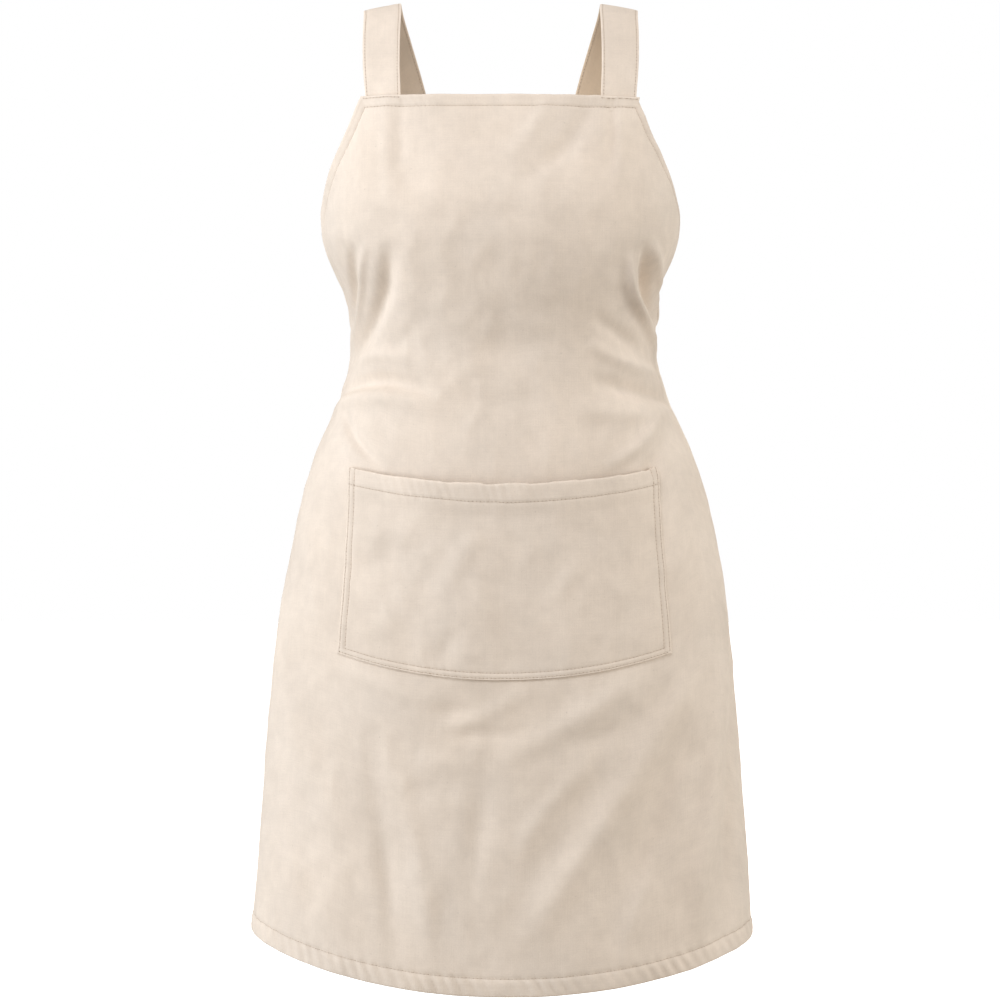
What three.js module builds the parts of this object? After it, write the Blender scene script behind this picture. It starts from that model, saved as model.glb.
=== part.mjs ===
// A cross back apron of natural canvas, in the shape that it keeps when it is worn: a bib and
// wrapped skirt cut in one piece, turned hems, a wide front pocket, and two straps that go over
// the shoulders, cross behind and end inside the upper back corners.
//
// Millimetres, +Z up, -Y to the front. The origin lies midway between the places where the
// straps rest on the shoulders. A drop is a distance down from there. A place on the cloth is
// an angle round the body, from 0 in front to 180 degrees behind, and a drop.

import * as THREE from "three";

// Layers of cloth
const CLOTH = 1.4;
const TURNED_CLOTH = 1.2;
const STRAP_CLOTH = 2.4;
const LAYER_GAP = 0.5;

// Drops
const BIB_DROP = 98;
const WAIST_DROP = 345;
const WING_DROP = 420;
const HEM_DROP = 921;
const HEM_DIP = 27; // how much lower the hem hangs in front than at the sides

// Half widths, and depths in front of and behind the shoulders
const BIB_HALF_WIDTH = 134.5;
const BUST_HALF_WIDTH = 179;
const BUST_FRONT = 134;
const BUST_BACK = 105;
const WAIST_HALF_WIDTH = 150;
const WAIST_FRONT = 112;
const WAIST_BACK = 88;
const HEM_HALF_WIDTH = 252;
const HEM_FRONT = 185;
const HEM_BACK = 125;
const HEM_FORWARD = 40; // how far the widest part of the hem lies in front of the shoulders
const SKIRT_ASIDE = 3.5; // how far the skirt hangs to the right
const WING_GAP = 18; // from the middle of the back to each wing's upper corner
const HEM_GAP = 62; // and to its lower corner

// Turned hems
const BIB_HEM = 11;
const ARMHOLE_HEM = 9;
const SKIRT_HEM = 17;
const BACK_HEM = 12;
const POCKET_HEM = 18;

// Pocket
const POCKET_DROP = 456;
const POCKET_HEIGHT = 177;
const POCKET_TOP_HALF_WIDTH = 144;
const POCKET_BOTTOM_HALF_WIDTH = 157;
const POCKET_TOP_DIP = 14; // how much lower the middle of the mouth is than its corners
const POCKET_BOTTOM_DIP = 21;
const POCKET_GAPE = 9;
const POCKET_EASE = 0.8; // extra room at the mouth, for the folds under it

// Straps
const STRAP_WIDTH = 38;
const STRAP_TUCK = 14; // length that is sewn inside each hem
const SHOULDER_SPREAD = 119; // from the middle to a strap's centre, on the shoulder
const SHOULDER_DEPTH = 105; // how far back the straps pass over the shoulder blades
const CROSSING_DROP = 330;
const WING_SEAT = 40; // from the middle of the back to the strap's centre at the wing's edge
const STRAP_CLEARANCE = 1; // between the straps where they cross

// Folds
const FOLD_WIDTH = 20;
const FOLD_HEIGHT = 10;

// Looks
const CANVAS_COLOUR = 0xe4d5c6;
const HEM_COLOUR = 0xddcdba;
const STRAP_COLOUR = 0xe8d9c6;
const CANVAS_ROUGHNESS = 0.95;

// Mesh steps
const BIB_STEPS = 18;
const SIDE_STEPS = 19;
const DOWN_STEPS = 28;
const POCKET_STEPS = 16;
const POCKET_DOWN_STEPS = 9;
const STRAP_STEPS = 44;
const STRAP_COLUMNS = 4;

const DEGREE = Math.PI / 180;

// Cross sections above the waist. drop is a share of the waist's drop. The other lengths are
// shares of the way from the waist's size, 0, to the bust's, 1. round is 1 for an ellipse,
// and less for a squarer section.
const CHEST_SECTIONS = [
  { drop: 0.17, width: 0.86, front: -1.9, back: 0.5, aside: 0, round: 0.8 },
  { drop: 0.28, width: 0.9, front: -0.9, back: 0.8, aside: 0, round: 0.8 },
  { drop: 0.43, width: 0.96, front: 0.05, back: 0.95, aside: 0, round: 0.8 },
  { drop: 0.6, width: 1, front: 1, back: 1, aside: 0, round: 0.8 },
  { drop: 0.66, width: 0.97, front: 1.02, back: 0.95, aside: 0, round: 0.81 },
  { drop: 0.71, width: 0.82, front: 0.96, back: 0.88, aside: 0.05, round: 0.82 },
  { drop: 0.77, width: 0.52, front: 0.82, back: 0.75, aside: 0.1, round: 0.84 },
  { drop: 0.83, width: 0.2, front: 0.62, back: 0.55, aside: 0.25, round: 0.86 },
  { drop: 0.91, width: 0.05, front: 0.27, back: 0.25, aside: 0.5, round: 0.88 },
];

// Cross sections from the waist down. drop is a share of the way from the waist to the hem,
// and so are the other lengths. forward and aside are shares of their own sizes.
const SKIRT_SECTIONS = [
  { drop: 0, width: 0, front: 0, back: 0, forward: 0, aside: 0.7, round: 0.89 },
  { drop: 0.035, width: 0.03, front: 0.01, back: 0.03, forward: 0, aside: 0.8, round: 0.89 },
  { drop: 0.07, width: 0.12, front: 0.03, back: 0.08, forward: 0.01, aside: 0.85, round: 0.89 },
  { drop: 0.104, width: 0.19, front: 0.07, back: 0.2, forward: 0.03, aside: 0.9, round: 0.9 },
  { drop: 0.174, width: 0.37, front: 0.18, back: 0.45, forward: 0.08, aside: 0.9, round: 0.9 },
  { drop: 0.243, width: 0.5, front: 0.27, back: 0.68, forward: 0.14, aside: 0.9, round: 0.91 },
  { drop: 0.313, width: 0.595, front: 0.35, back: 0.83, forward: 0.22, aside: 0.95, round: 0.91 },
  { drop: 0.418, width: 0.7, front: 0.46, back: 0.93, forward: 0.33, aside: 1, round: 0.92 },
  { drop: 0.523, width: 0.76, front: 0.56, back: 0.96, forward: 0.46, aside: 0.95, round: 0.92 },
  { drop: 0.661, width: 0.825, front: 0.67, back: 0.98, forward: 0.62, aside: 0.7, round: 0.93 },
  { drop: 0.836, width: 0.905, front: 0.82, back: 0.99, forward: 0.82, aside: 0.3, round: 0.94 },
  { drop: 1, width: 1, front: 1, back: 1, forward: 1, aside: 0, round: 0.94 },
];

// The armhole edge, from the bib's corner to the wing's. turn is the share of the angle
// between them, and fall the share of the drop.
const ARMHOLE = [
  { turn: 0, fall: 0 },
  { turn: 0.056, fall: 0.1 },
  { turn: 0.153, fall: 0.22 },
  { turn: 0.253, fall: 0.34 },
  { turn: 0.295, fall: 0.46 },
  { turn: 0.328, fall: 0.58 },
  { turn: 0.39, fall: 0.67 },
  { turn: 0.505, fall: 0.77 },
  { turn: 0.66, fall: 0.86 },
  { turn: 0.83, fall: 0.94 },
  { turn: 1, fall: 1 },
];

// Folds in the cloth. angle is in degrees, minus to the left as seen from the front, and drop
// is a share of the hem's drop. width and height are shares of the fold sizes, and a height
// under zero is a hollow. Each fold swells from nothing at its ends to its middle.
const FOLDS = [
  // Pulled down from the bib towards the left of the waist
  { angle: -46, drop: 0.255, toAngle: -86, toDrop: 0.375, width: 0.55, height: -0.5 },
  { angle: -54, drop: 0.25, toAngle: -98, toDrop: 0.365, width: 0.45, height: 0.45 },
  { angle: -62, drop: 0.255, toAngle: -106, toDrop: 0.35, width: 0.45, height: -0.5 },
  { angle: -36, drop: 0.3, toAngle: -84, toDrop: 0.39, width: 0.7, height: 0.3 },
  // And towards the right
  { angle: 42, drop: 0.27, toAngle: 84, toDrop: 0.375, width: 0.6, height: -0.4 },
  { angle: 48, drop: 0.26, toAngle: 96, toDrop: 0.372, width: 0.45, height: 0.5 },
  { angle: 58, drop: 0.25, toAngle: 106, toDrop: 0.36, width: 0.45, height: -0.6 },
  { angle: 34, drop: 0.345, toAngle: 84, toDrop: 0.39, width: 0.6, height: 0.25 },
  // Under the waist, out towards the hips
  { angle: -22, drop: 0.415, toAngle: -100, toDrop: 0.408, width: 0.5, height: -0.4 },
  { angle: -30, drop: 0.53, toAngle: -80, toDrop: 0.43, width: 0.5, height: -0.3 },
  { angle: 20, drop: 0.42, toAngle: 100, toDrop: 0.41, width: 0.5, height: -0.32 },
  { angle: 22, drop: 0.51, toAngle: 84, toDrop: 0.42, width: 0.6, height: 0.3 },
  // Behind the waist
  { angle: -112, drop: 0.36, toAngle: -128, toDrop: 0.56, width: 0.7, height: 0.5 },
  { angle: 112, drop: 0.36, toAngle: 128, toDrop: 0.56, width: 0.7, height: 0.5 },
  { angle: -134, drop: 0.42, toAngle: -142, toDrop: 0.75, width: 0.9, height: 0.5 },
  { angle: 134, drop: 0.42, toAngle: 142, toDrop: 0.75, width: 0.9, height: 0.5 },
  // Long soft drapes of the skirt
  { angle: 60, drop: 0.62, toAngle: 4, toDrop: 1.1, width: 1.3, height: 0.45 },
  { angle: 74, drop: 0.66, toAngle: 26, toDrop: 1.16, width: 1.3, height: -0.45 },
  { angle: 84, drop: 0.56, toAngle: 62, toDrop: 1.2, width: 1.2, height: 0.4 },
  { angle: 36, drop: 0.68, toAngle: -10, toDrop: 1.05, width: 1.3, height: -0.35 },
  { angle: -40, drop: 0.7, toAngle: -26, toDrop: 1.2, width: 1.2, height: 0.35 },
  { angle: -62, drop: 0.6, toAngle: -44, toDrop: 1.2, width: 1.3, height: -0.35 },
  { angle: -84, drop: 0.56, toAngle: -72, toDrop: 1.2, width: 1.3, height: 0.35 },
  { angle: -124, drop: 0.62, toAngle: -130, toDrop: 1.25, width: 1.6, height: 0.7 },
  { angle: 124, drop: 0.62, toAngle: 130, toDrop: 1.25, width: 1.6, height: 0.7 },
  { angle: -104, drop: 0.66, toAngle: -108, toDrop: 1.25, width: 1.4, height: -0.5 },
  { angle: 104, drop: 0.66, toAngle: 108, toDrop: 1.25, width: 1.4, height: -0.5 },
];

// A strap's way, from above the bib over its shoulder and past the crossing. out is a share of
// the shoulder spread, under zero past the middle, depth of the shoulder depth and drop of the
// crossing's drop. tilt and turn are in degrees: how far its outer edge is down, and its inner
// edge back. over is the share in which the strap on top is lifted over the other one.
const STRAP_WAY = [
  { out: 0.985, depth: -0.58, drop: 0.2, tilt: 0, turn: -17, over: 0 },
  { out: 0.99, depth: -0.42, drop: 0.1, tilt: 3, turn: -12, over: 0 },
  { out: 0.99, depth: -0.2, drop: 0.03, tilt: 9, turn: -5, over: 0 },
  { out: 1, depth: 0.03, drop: 0.004, tilt: 12, turn: 0, over: 0 },
  { out: 0.985, depth: 0.27, drop: 0.03, tilt: 14, turn: 4, over: 0 },
  { out: 0.93, depth: 0.5, drop: 0.1, tilt: 15, turn: 8, over: 0 },
  { out: 0.85, depth: 0.68, drop: 0.2, tilt: 16, turn: 12, over: 0 },
  { out: 0.75, depth: 0.82, drop: 0.33, tilt: 18, turn: 12, over: 0 },
  { out: 0.59, depth: 0.93, drop: 0.5, tilt: 20, turn: 10, over: 0.1 },
  { out: 0.4, depth: 0.97, drop: 0.67, tilt: 21, turn: 4, over: 0.7 },
  { out: 0.2, depth: 0.98, drop: 0.84, tilt: 22, turn: 0, over: 1 },
  { out: 0, depth: 0.97, drop: 1, tilt: 23, turn: 0, over: 1 },
  { out: -0.18, depth: 0.93, drop: 1.14, tilt: 24, turn: 0, over: 1 },
];

// A smooth curve through one column of a table, as a function of another column.
function curveThrough(rows, across, value) {
  const x = rows.map((row) => row[across]);
  const y = rows.map((row) => row[value]);
  const last = x.length - 1;
  const secant = x.slice(1).map((next, i) => (y[i + 1] - y[i]) / (next - x[i]));
  const slope = x.map((_, i) => {
    if (i === 0 || i === last) return secant[Math.min(i, last - 1)];
    const [before, after] = [secant[i - 1], secant[i]];
    return before * after <= 0 ? 0 : (2 * before * after) / (before + after);
  });
  return (at) => {
    if (at <= x[0]) return y[0] + slope[0] * (at - x[0]);
    if (at >= x[last]) return y[last] + slope[last] * (at - x[last]);
    const i = x.findIndex((next) => next > at) - 1;
    const span = x[i + 1] - x[i];
    const t = (at - x[i]) / span;
    const [rise, start, end] = [y[i + 1] - y[i], slope[i] * span, slope[i + 1] * span];
    return y[i] + t * (start + t * (3 * rise - 2 * start - end + t * (start + end - 2 * rise)));
  };
}

const between = (a, b, share) => a + share * (b - a);
const shares = (steps) => Array.from({ length: steps + 1 }, (_, i) => i / steps);
const signedPower = (value, power) => Math.sign(value) * Math.abs(value) ** power;
const easeOut = (share) => 1 - THREE.MathUtils.smoothstep(share, 0, 1);

// The cross sections in millimetres, from the shoulders to the hem.
const SECTIONS = [
  ...CHEST_SECTIONS.map((row) => ({
    drop: row.drop * WAIST_DROP,
    width: between(WAIST_HALF_WIDTH, BUST_HALF_WIDTH, row.width),
    front: between(WAIST_FRONT, BUST_FRONT, row.front),
    back: between(WAIST_BACK, BUST_BACK, row.back),
    forward: 0,
    aside: SKIRT_ASIDE * row.aside,
    round: row.round,
  })),
  ...SKIRT_SECTIONS.map((row) => ({
    drop: between(WAIST_DROP, HEM_DROP, row.drop),
    width: between(WAIST_HALF_WIDTH, HEM_HALF_WIDTH, row.width),
    front: between(WAIST_FRONT, HEM_FRONT, row.front),
    back: between(WAIST_BACK, HEM_BACK, row.back),
    forward: HEM_FORWARD * row.forward,
    aside: SKIRT_ASIDE * row.aside,
    round: row.round,
  })),
];
const sectionWidth = curveThrough(SECTIONS, "drop", "width");
const sectionFront = curveThrough(SECTIONS, "drop", "front");
const sectionBack = curveThrough(SECTIONS, "drop", "back");
const sectionForward = curveThrough(SECTIONS, "drop", "forward");
const sectionAside = curveThrough(SECTIONS, "drop", "aside");
const sectionRound = curveThrough(SECTIONS, "drop", "round");

// The angle at which the front of the body is that far to the side.
function angleAt(side, drop) {
  const share = Math.min(1, Math.abs(side) / sectionWidth(drop));
  return Math.sign(side) * Math.asin(share ** (1 / sectionRound(drop)));
}

// The smooth body under the folds.
function bodyPoint({ angle, drop }) {
  const round = sectionRound(drop);
  const forward = sectionForward(drop);
  const ahead = signedPower(Math.cos(angle), round);
  const depth = ahead > 0 ? sectionFront(drop) - forward : sectionBack(drop) + forward;
  const side = sectionWidth(drop) * signedPower(Math.sin(angle), round);
  return new THREE.Vector3(sectionAside(drop) + side, -forward - depth * ahead, -drop);
}

// How a surface runs at a place: per radian round the body, per millimetre down, and outwards.
function runOf(surface, { angle, drop }) {
  const turn = 0.01;
  const fall = 1;
  const across = surface({ angle: angle + turn, drop }).sub(surface({ angle: angle - turn, drop }));
  const down = surface({ angle, drop: drop + fall }).sub(surface({ angle, drop: drop - fall }));
  across.divideScalar(2 * turn);
  down.divideScalar(2 * fall);
  return { across, down, normal: down.clone().cross(across).normalize() };
}

// How far the folds lift the cloth off the body.
function foldLift({ angle, drop }) {
  const reach = WAIST_HALF_WIDTH;
  return FOLDS.reduce((lift, fold) => {
    const start = new THREE.Vector2(fold.angle * DEGREE * reach, fold.drop * HEM_DROP);
    const along = new THREE.Vector2(fold.toAngle * DEGREE * reach, fold.toDrop * HEM_DROP);
    along.sub(start);
    const here = new THREE.Vector2(angle * reach, drop).sub(start);
    const share = here.dot(along) / along.lengthSq();
    if (share <= 0 || share >= 1) return lift;
    const aside = here.cross(along) / along.length() / (fold.width * FOLD_WIDTH);
    const swell = (4 * share * (1 - share)) ** 1.5;
    return lift + fold.height * FOLD_HEIGHT * swell * Math.exp(-aside * aside);
  }, 0);
}

// The outer face of the cloth.
function clothPoint(place) {
  return bodyPoint(place).addScaledVector(runOf(bodyPoint, place).normal, foldLift(place));
}

// A point that far behind the outer face, or in front of it under zero.
function layerPoint(place, depth) {
  return clothPoint(place).addScaledVector(runOf(clothPoint, place).normal, -depth);
}

// The place on the cloth that a step along it leads to.
function stepOnCloth(place, step) {
  const { across, down } = runOf(clothPoint, place);
  const [aa, ad, dd] = [across.lengthSq(), across.dot(down), down.lengthSq()];
  const [a, d] = [step.dot(across), step.dot(down)];
  const scale = 1 / (aa * dd - ad * ad);
  return {
    angle: place.angle + (a * dd - d * ad) * scale,
    drop: place.drop + (d * aa - a * ad) * scale,
  };
}

// A closed solid between two grids of points, the first of which faces out. A grid is a list
// of rows. Seen from outside, its columns run to the right and its rows run down.
function slab(outer, inner) {
  const rows = outer.length;
  const columns = outer[0].length;
  const front = (row, column) => row * columns + column;
  const rear = (row, column) => rows * columns + front(row, column);
  const faces = [];
  const quad = (a, b, c, d) => faces.push(a, b, c, a, c, d);
  for (let row = 0; row + 1 < rows; row++) {
    for (let column = 0; column + 1 < columns; column++) {
      const [right, low] = [column + 1, row + 1];
      quad(front(row, column), front(low, column), front(low, right), front(row, right));
      quad(rear(row, column), rear(row, right), rear(low, right), rear(low, column));
    }
    const end = columns - 1;
    quad(front(row, 0), rear(row, 0), rear(row + 1, 0), front(row + 1, 0));
    quad(front(row, end), front(row + 1, end), rear(row + 1, end), rear(row, end));
  }
  for (let column = 0; column + 1 < columns; column++) {
    const end = rows - 1;
    quad(front(0, column), front(0, column + 1), rear(0, column + 1), rear(0, column));
    quad(front(end, column), rear(end, column), rear(end, column + 1), front(end, column + 1));
  }
  const geometry = new THREE.BufferGeometry();
  geometry.setFromPoints([...outer.flat(), ...inner.flat()]);
  geometry.setIndex(faces);
  return geometry;
}

// A layer of cloth over a grid of places.
function layer(places, depth, thickness) {
  const grid = (at) => places.map((row) => row.map((place) => layerPoint(place, at)));
  return slab(grid(depth), grid(depth + thickness));
}

const BIB_CORNER = angleAt(BIB_HALF_WIDTH, BIB_DROP);

// The angle of the wing's back edge, or of a line that far in from it. The edge lies further
// from the middle of the back lower down.
function backEdgeAngle(drop, inset) {
  const share = Math.max(0, drop - WING_DROP) / (HEM_DROP - WING_DROP);
  return Math.PI - angleAt(between(WING_GAP, HEM_GAP, share) + inset, Math.max(WING_DROP, drop));
}

const WING_CORNER = backEdgeAngle(WING_DROP, 0);
const armholeFall = curveThrough(ARMHOLE, "turn", "fall");

// The cloth's upper edge: the bib's top, and the armholes beside it.
function upperEdge(angle) {
  const turn = (Math.abs(angle) - BIB_CORNER) / (WING_CORNER - BIB_CORNER);
  const drop = turn <= 0 ? BIB_DROP : between(BIB_DROP, WING_DROP, armholeFall(turn));
  return { angle, drop };
}

// The direction into the cloth, square to its upper edge, on the side given by the sign.
function intoCloth(angle, side) {
  const place = upperEdge(angle);
  const next = clothPoint(upperEdge(angle + 0.01 * side));
  const along = next.sub(clothPoint(place)).multiplyScalar(side);
  return along.cross(runOf(clothPoint, place).normal).normalize();
}

// The inner border of the turned hem at the bib's corner, where two hems meet.
function cornerHemPlace(side) {
  const bib = intoCloth(side * BIB_CORNER, -side);
  const armhole = intoCloth(side * BIB_CORNER, side);
  const shared = bib.dot(armhole);
  const scale = 1 / (1 - shared * shared);
  bib.multiplyScalar((BIB_HEM - ARMHOLE_HEM * shared) * scale);
  armhole.multiplyScalar((ARMHOLE_HEM - BIB_HEM * shared) * scale);
  return stepOnCloth(upperEdge(side * BIB_CORNER), bib.add(armhole));
}

// The columns down the cloth, each with its angle at the upper edge. A column at the wing's
// back edge, or beside it, keeps its inset from that edge all the way down.
const besideWing = { angle: backEdgeAngle(WING_DROP, BACK_HEM), inset: BACK_HEM, wing: true };
const SIDE_COLUMNS = [
  ...shares(SIDE_STEPS).slice(1, -1).map((share) => ({
    angle: between(BIB_CORNER, besideWing.angle, share ** 1.2),
    inset: BACK_HEM,
    wing: false,
  })),
  besideWing,
  { angle: WING_CORNER, inset: 0, wing: true },
];
const BIB_COLUMNS = shares(BIB_STEPS).map((share) => ({
  angle: between(-BIB_CORNER, BIB_CORNER, share),
  inset: BACK_HEM,
  wing: false,
}));
const COLUMNS = [
  ...SIDE_COLUMNS.map((column) => ({ ...column, angle: -column.angle })).reverse(),
  ...BIB_COLUMNS,
  ...SIDE_COLUMNS,
];

// Where a column crosses the inner border of the turned hem along the upper edge.
function upperHemPlace({ angle, wing }) {
  const side = Math.sign(angle) || 1;
  if (Math.abs(angle) <= BIB_CORNER) {
    const corner = cornerHemPlace(side);
    return { angle: (corner.angle * Math.abs(angle)) / BIB_CORNER, drop: corner.drop };
  }
  const edge = upperEdge(angle);
  const inward = intoCloth(angle, side);
  if (!wing) return stepOnCloth(edge, inward.multiplyScalar(ARMHOLE_HEM));
  const { down } = runOf(clothPoint, edge);
  return { angle, drop: edge.drop + ARMHOLE_HEM / inward.dot(down) };
}

// A place on a column, that far down.
function columnPlace({ inset }, start, drop) {
  const spread = backEdgeAngle(drop, inset) / backEdgeAngle(start.drop, inset);
  return { angle: start.angle * spread, drop };
}

function hemDrop(angle) {
  return HEM_DROP + HEM_DIP * Math.max(0, Math.cos(angle)) ** 2;
}

// The shares down a column, closer together about the waist.
const DOWN_SHARES = shares(DOWN_STEPS).map((share) => {
  const waist = WAIST_DROP / HEM_DROP;
  const wave = Math.sin(2 * Math.PI * (share - waist)) + Math.sin(2 * Math.PI * waist);
  return share - 0.08 * wave;
});

// All places of the body's grid: the upper edge, the inner border of its hem, the rows between,
// the inner border of the bottom hem, and the bottom edge.
function bodyPlaces() {
  const columns = COLUMNS.map((column) => {
    const start = upperHemPlace(column);
    const bottom = hemDrop(start.angle);
    const rows = DOWN_SHARES.map((share) =>
      columnPlace(column, start, between(start.drop, bottom - SKIRT_HEM, share)),
    );
    return [upperEdge(column.angle), ...rows, columnPlace(column, start, bottom)];
  });
  return columns[0].map((_, row) => columns.map((column) => column[row]));
}

// A line of places with both ends drawn in by half a gap, clear of the next piece's end.
function shortened(line) {
  const drawnIn = (end, next) => {
    const share = LAYER_GAP / 2 / clothPoint(end).distanceTo(clothPoint(next));
    return { angle: between(end.angle, next.angle, share), drop: between(end.drop, next.drop, share) };
  };
  const last = line.length - 1;
  return [drawnIn(line[0], line[1]), ...line.slice(1, -1), drawnIn(line[last], line[last - 1])];
}

const transposed = (rows) => rows[0].map((_, column) => rows.map((row) => row[column]));

// A turned hem, behind the part of the body's grid between two rows or between two columns.
const hemLayer = (places) => layer(places, CLOTH + LAYER_GAP, TURNED_CLOTH);
function hemAlongRows(places, row, from, to) {
  return hemLayer(places.slice(row, row + 2).map((line) => shortened(line.slice(from, to + 1))));
}
function hemAlongColumns(places, column) {
  const lines = transposed(places).slice(column, column + 2);
  return hemLayer(transposed(lines.map((line) => shortened(line.slice(1, -1)))));
}

// Rows of the pocket, as distances below its mouth.
const POCKET_ROWS = [
  0,
  POCKET_HEM / 2,
  ...shares(POCKET_DOWN_STEPS).map((share) => between(POCKET_HEM, POCKET_HEIGHT, share)),
];

// A place on the pocket. across runs from -1 to 1, and down is the distance below the mouth.
function pocketPlace(across, down) {
  const share = down / POCKET_HEIGHT;
  const half = between(POCKET_TOP_HALF_WIDTH, POCKET_BOTTOM_HALF_WIDTH, share);
  const dip = between(POCKET_TOP_DIP, POCKET_BOTTOM_DIP, share) * (1 - across * across);
  const drop = POCKET_DROP + down + dip;
  return { angle: angleAt(across * half, drop), drop };
}

// How far the pocket stands off the body: it makes room for its turned hem, and gapes.
function pocketLift(across, down) {
  const room = TURNED_CLOTH + LAYER_GAP + POCKET_EASE;
  const hemRoom = room * easeOut((down - POCKET_HEM) / POCKET_HEM);
  const gape = POCKET_GAPE * (1 - across * across) * (1 - down / POCKET_HEIGHT) ** 2;
  return hemRoom + gape;
}

// A layer of the pocket over some of its rows and columns, that far inside its outer face.
function pocketLayer(rows, acrosses, depth, thickness) {
  const grid = (at) =>
    rows.map((down) =>
      acrosses.map((across) => {
        const stand = LAYER_GAP + pocketLift(across, down) + CLOTH;
        return layerPoint(pocketPlace(across, down), at - stand);
      }),
    );
  return slab(grid(depth), grid(depth + thickness));
}

const POCKET_ACROSS = shares(POCKET_STEPS).map((share) => 2 * share - 1);

function pocketMouthHem() {
  const inset = 1 - LAYER_GAP / POCKET_TOP_HALF_WIDTH;
  const acrosses = POCKET_ACROSS.map((across) => THREE.MathUtils.clamp(across, -inset, inset));
  return pocketLayer(POCKET_ROWS.slice(0, 3), acrosses, CLOTH + LAYER_GAP, TURNED_CLOTH);
}

// The offsets of a strap's columns from its middle, towards +x.
const STRAP_OFFSETS = shares(STRAP_COLUMNS).map((share) => STRAP_WIDTH * (0.5 - share));

// A row across a strap where it lies inside the cloth and its hem.
function seatedRow(place, across) {
  const depth = CLOTH + TURNED_CLOTH + 3 * LAYER_GAP;
  return STRAP_OFFSETS.map((offset) =>
    layerPoint(stepOnCloth(place, across.clone().setLength(1).multiplyScalar(offset)), depth),
  );
}

// A row across a strap where it is free.
function freeRow({ out, depth, drop, tilt, turn, over }, lift) {
  const centre = new THREE.Vector3(
    -out * SHOULDER_SPREAD,
    depth * SHOULDER_DEPTH + over * lift,
    -drop * CROSSING_DROP,
  );
  const across = new THREE.Vector3(1, Math.tan(turn * DEGREE), Math.tan(tilt * DEGREE)).normalize();
  return STRAP_OFFSETS.map((offset) => centre.clone().addScaledVector(across, offset));
}

// The rows across the left strap that its smooth run goes through, over the right one by lift.
function strapRows(lift) {
  const corner = { angle: -BIB_CORNER, drop: BIB_DROP };
  const bibAcross = runOf(clothPoint, corner).across.normalize();
  const bibSeat = (drop) => {
    const { angle } = stepOnCloth(corner, bibAcross.clone().multiplyScalar(STRAP_WIDTH / 2));
    const place = { angle, drop };
    return seatedRow(place, runOf(clothPoint, place).across);
  };
  const seatAngle = Math.PI - angleAt(WING_SEAT, WING_DROP);
  const wing = upperEdge(seatAngle);
  const past = STRAP_WAY[STRAP_WAY.length - 1];
  const heading = clothPoint(wing).add(
    new THREE.Vector3(past.out * SHOULDER_SPREAD, 0, past.drop * CROSSING_DROP),
  );
  const { normal } = runOf(clothPoint, wing);
  heading.projectOnPlane(normal).normalize();
  const wingAcross = heading.clone().cross(normal);
  wingAcross.multiplyScalar(Math.sign(wingAcross.x));
  const wingSeat = (distance) =>
    seatedRow(stepOnCloth(wing, heading.clone().multiplyScalar(distance)), wingAcross);
  return [
    bibSeat(BIB_DROP + STRAP_TUCK),
    bibSeat(BIB_DROP),
    ...STRAP_WAY.map((row) => freeRow(row, lift)),
    wingSeat(-STRAP_TUCK),
    wingSeat(STRAP_TUCK),
  ];
}

// A strap of even thickness through rows across it.
function strap(rows) {
  const lines = transposed(rows).map((line) => new THREE.CatmullRomCurve3(line));
  const outer = shares(STRAP_STEPS).map((share) => lines.map((line) => line.getPoint(share)));
  const last = { row: outer.length - 1, column: lines.length - 1 };
  const inner = outer.map((line, row) =>
    line.map((point, column) => {
      const before = Math.max(0, row - 1);
      const after = Math.min(last.row, row + 1);
      const down = outer[after][column].clone().sub(outer[before][column]);
      const across = outer[row][Math.min(last.column, column + 1)]
        .clone()
        .sub(outer[row][Math.max(0, column - 1)]);
      return point.clone().addScaledVector(down.cross(across).normalize(), -STRAP_CLOTH);
    }),
  );
  return slab(outer, inner);
}

const mirroredRows = (rows) =>
  rows.map((row) => row.map(({ x, y, z }) => new THREE.Vector3(-x, y, z)).reverse());

const apron = new THREE.Group();

function add(name, geometry, color) {
  const looks = { color, roughness: CANVAS_ROUGHNESS, metalness: 0 };
  const mesh = new THREE.Mesh(geometry, new THREE.MeshStandardMaterial(looks));
  mesh.name = name;
  apron.add(mesh);
}

const places = bodyPlaces();
const side = SIDE_COLUMNS.length;
const lastColumn = COLUMNS.length - 1;
const hemRow = places.length - 2;

add("apron_body", layer(places, 0, CLOTH), CANVAS_COLOUR);
add("bib_hem", hemAlongRows(places, 0, side, lastColumn - side), HEM_COLOUR);
add("armhole_hem_left", hemAlongRows(places, 0, 0, side), HEM_COLOUR);
const rightArmhole = hemAlongRows(places, 0, lastColumn - side, lastColumn);
add("armhole_hem_right", rightArmhole, HEM_COLOUR);
add("bottom_hem", hemAlongRows(places, hemRow, 0, lastColumn), HEM_COLOUR);
add("back_hem_left", hemAlongColumns(places, 0), HEM_COLOUR);
add("back_hem_right", hemAlongColumns(places, lastColumn - 1), HEM_COLOUR);
add("pocket", pocketLayer(POCKET_ROWS, POCKET_ACROSS, 0, CLOTH), CANVAS_COLOUR);
add("pocket_mouth_hem", pocketMouthHem(), HEM_COLOUR);
add("strap_left", strap(strapRows(0)), STRAP_COLOUR);
const overRows = mirroredRows(strapRows(STRAP_CLOTH + STRAP_CLEARANCE));
add("strap_right", strap(overRows), STRAP_COLOUR);

export default apron;
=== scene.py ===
"""The visual model of a cross back apron in natural canvas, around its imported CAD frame.

Shapes are worked out in millimetres, +Z up, -Y to the front, and turned into metres when a mesh
is made. A place on the cloth is an angle round the body, from 0 in front to 180 degrees behind,
and a drop, the distance down from the shoulders.
"""

import math

import bpy
import numpy as np
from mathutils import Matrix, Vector, noise


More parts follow.
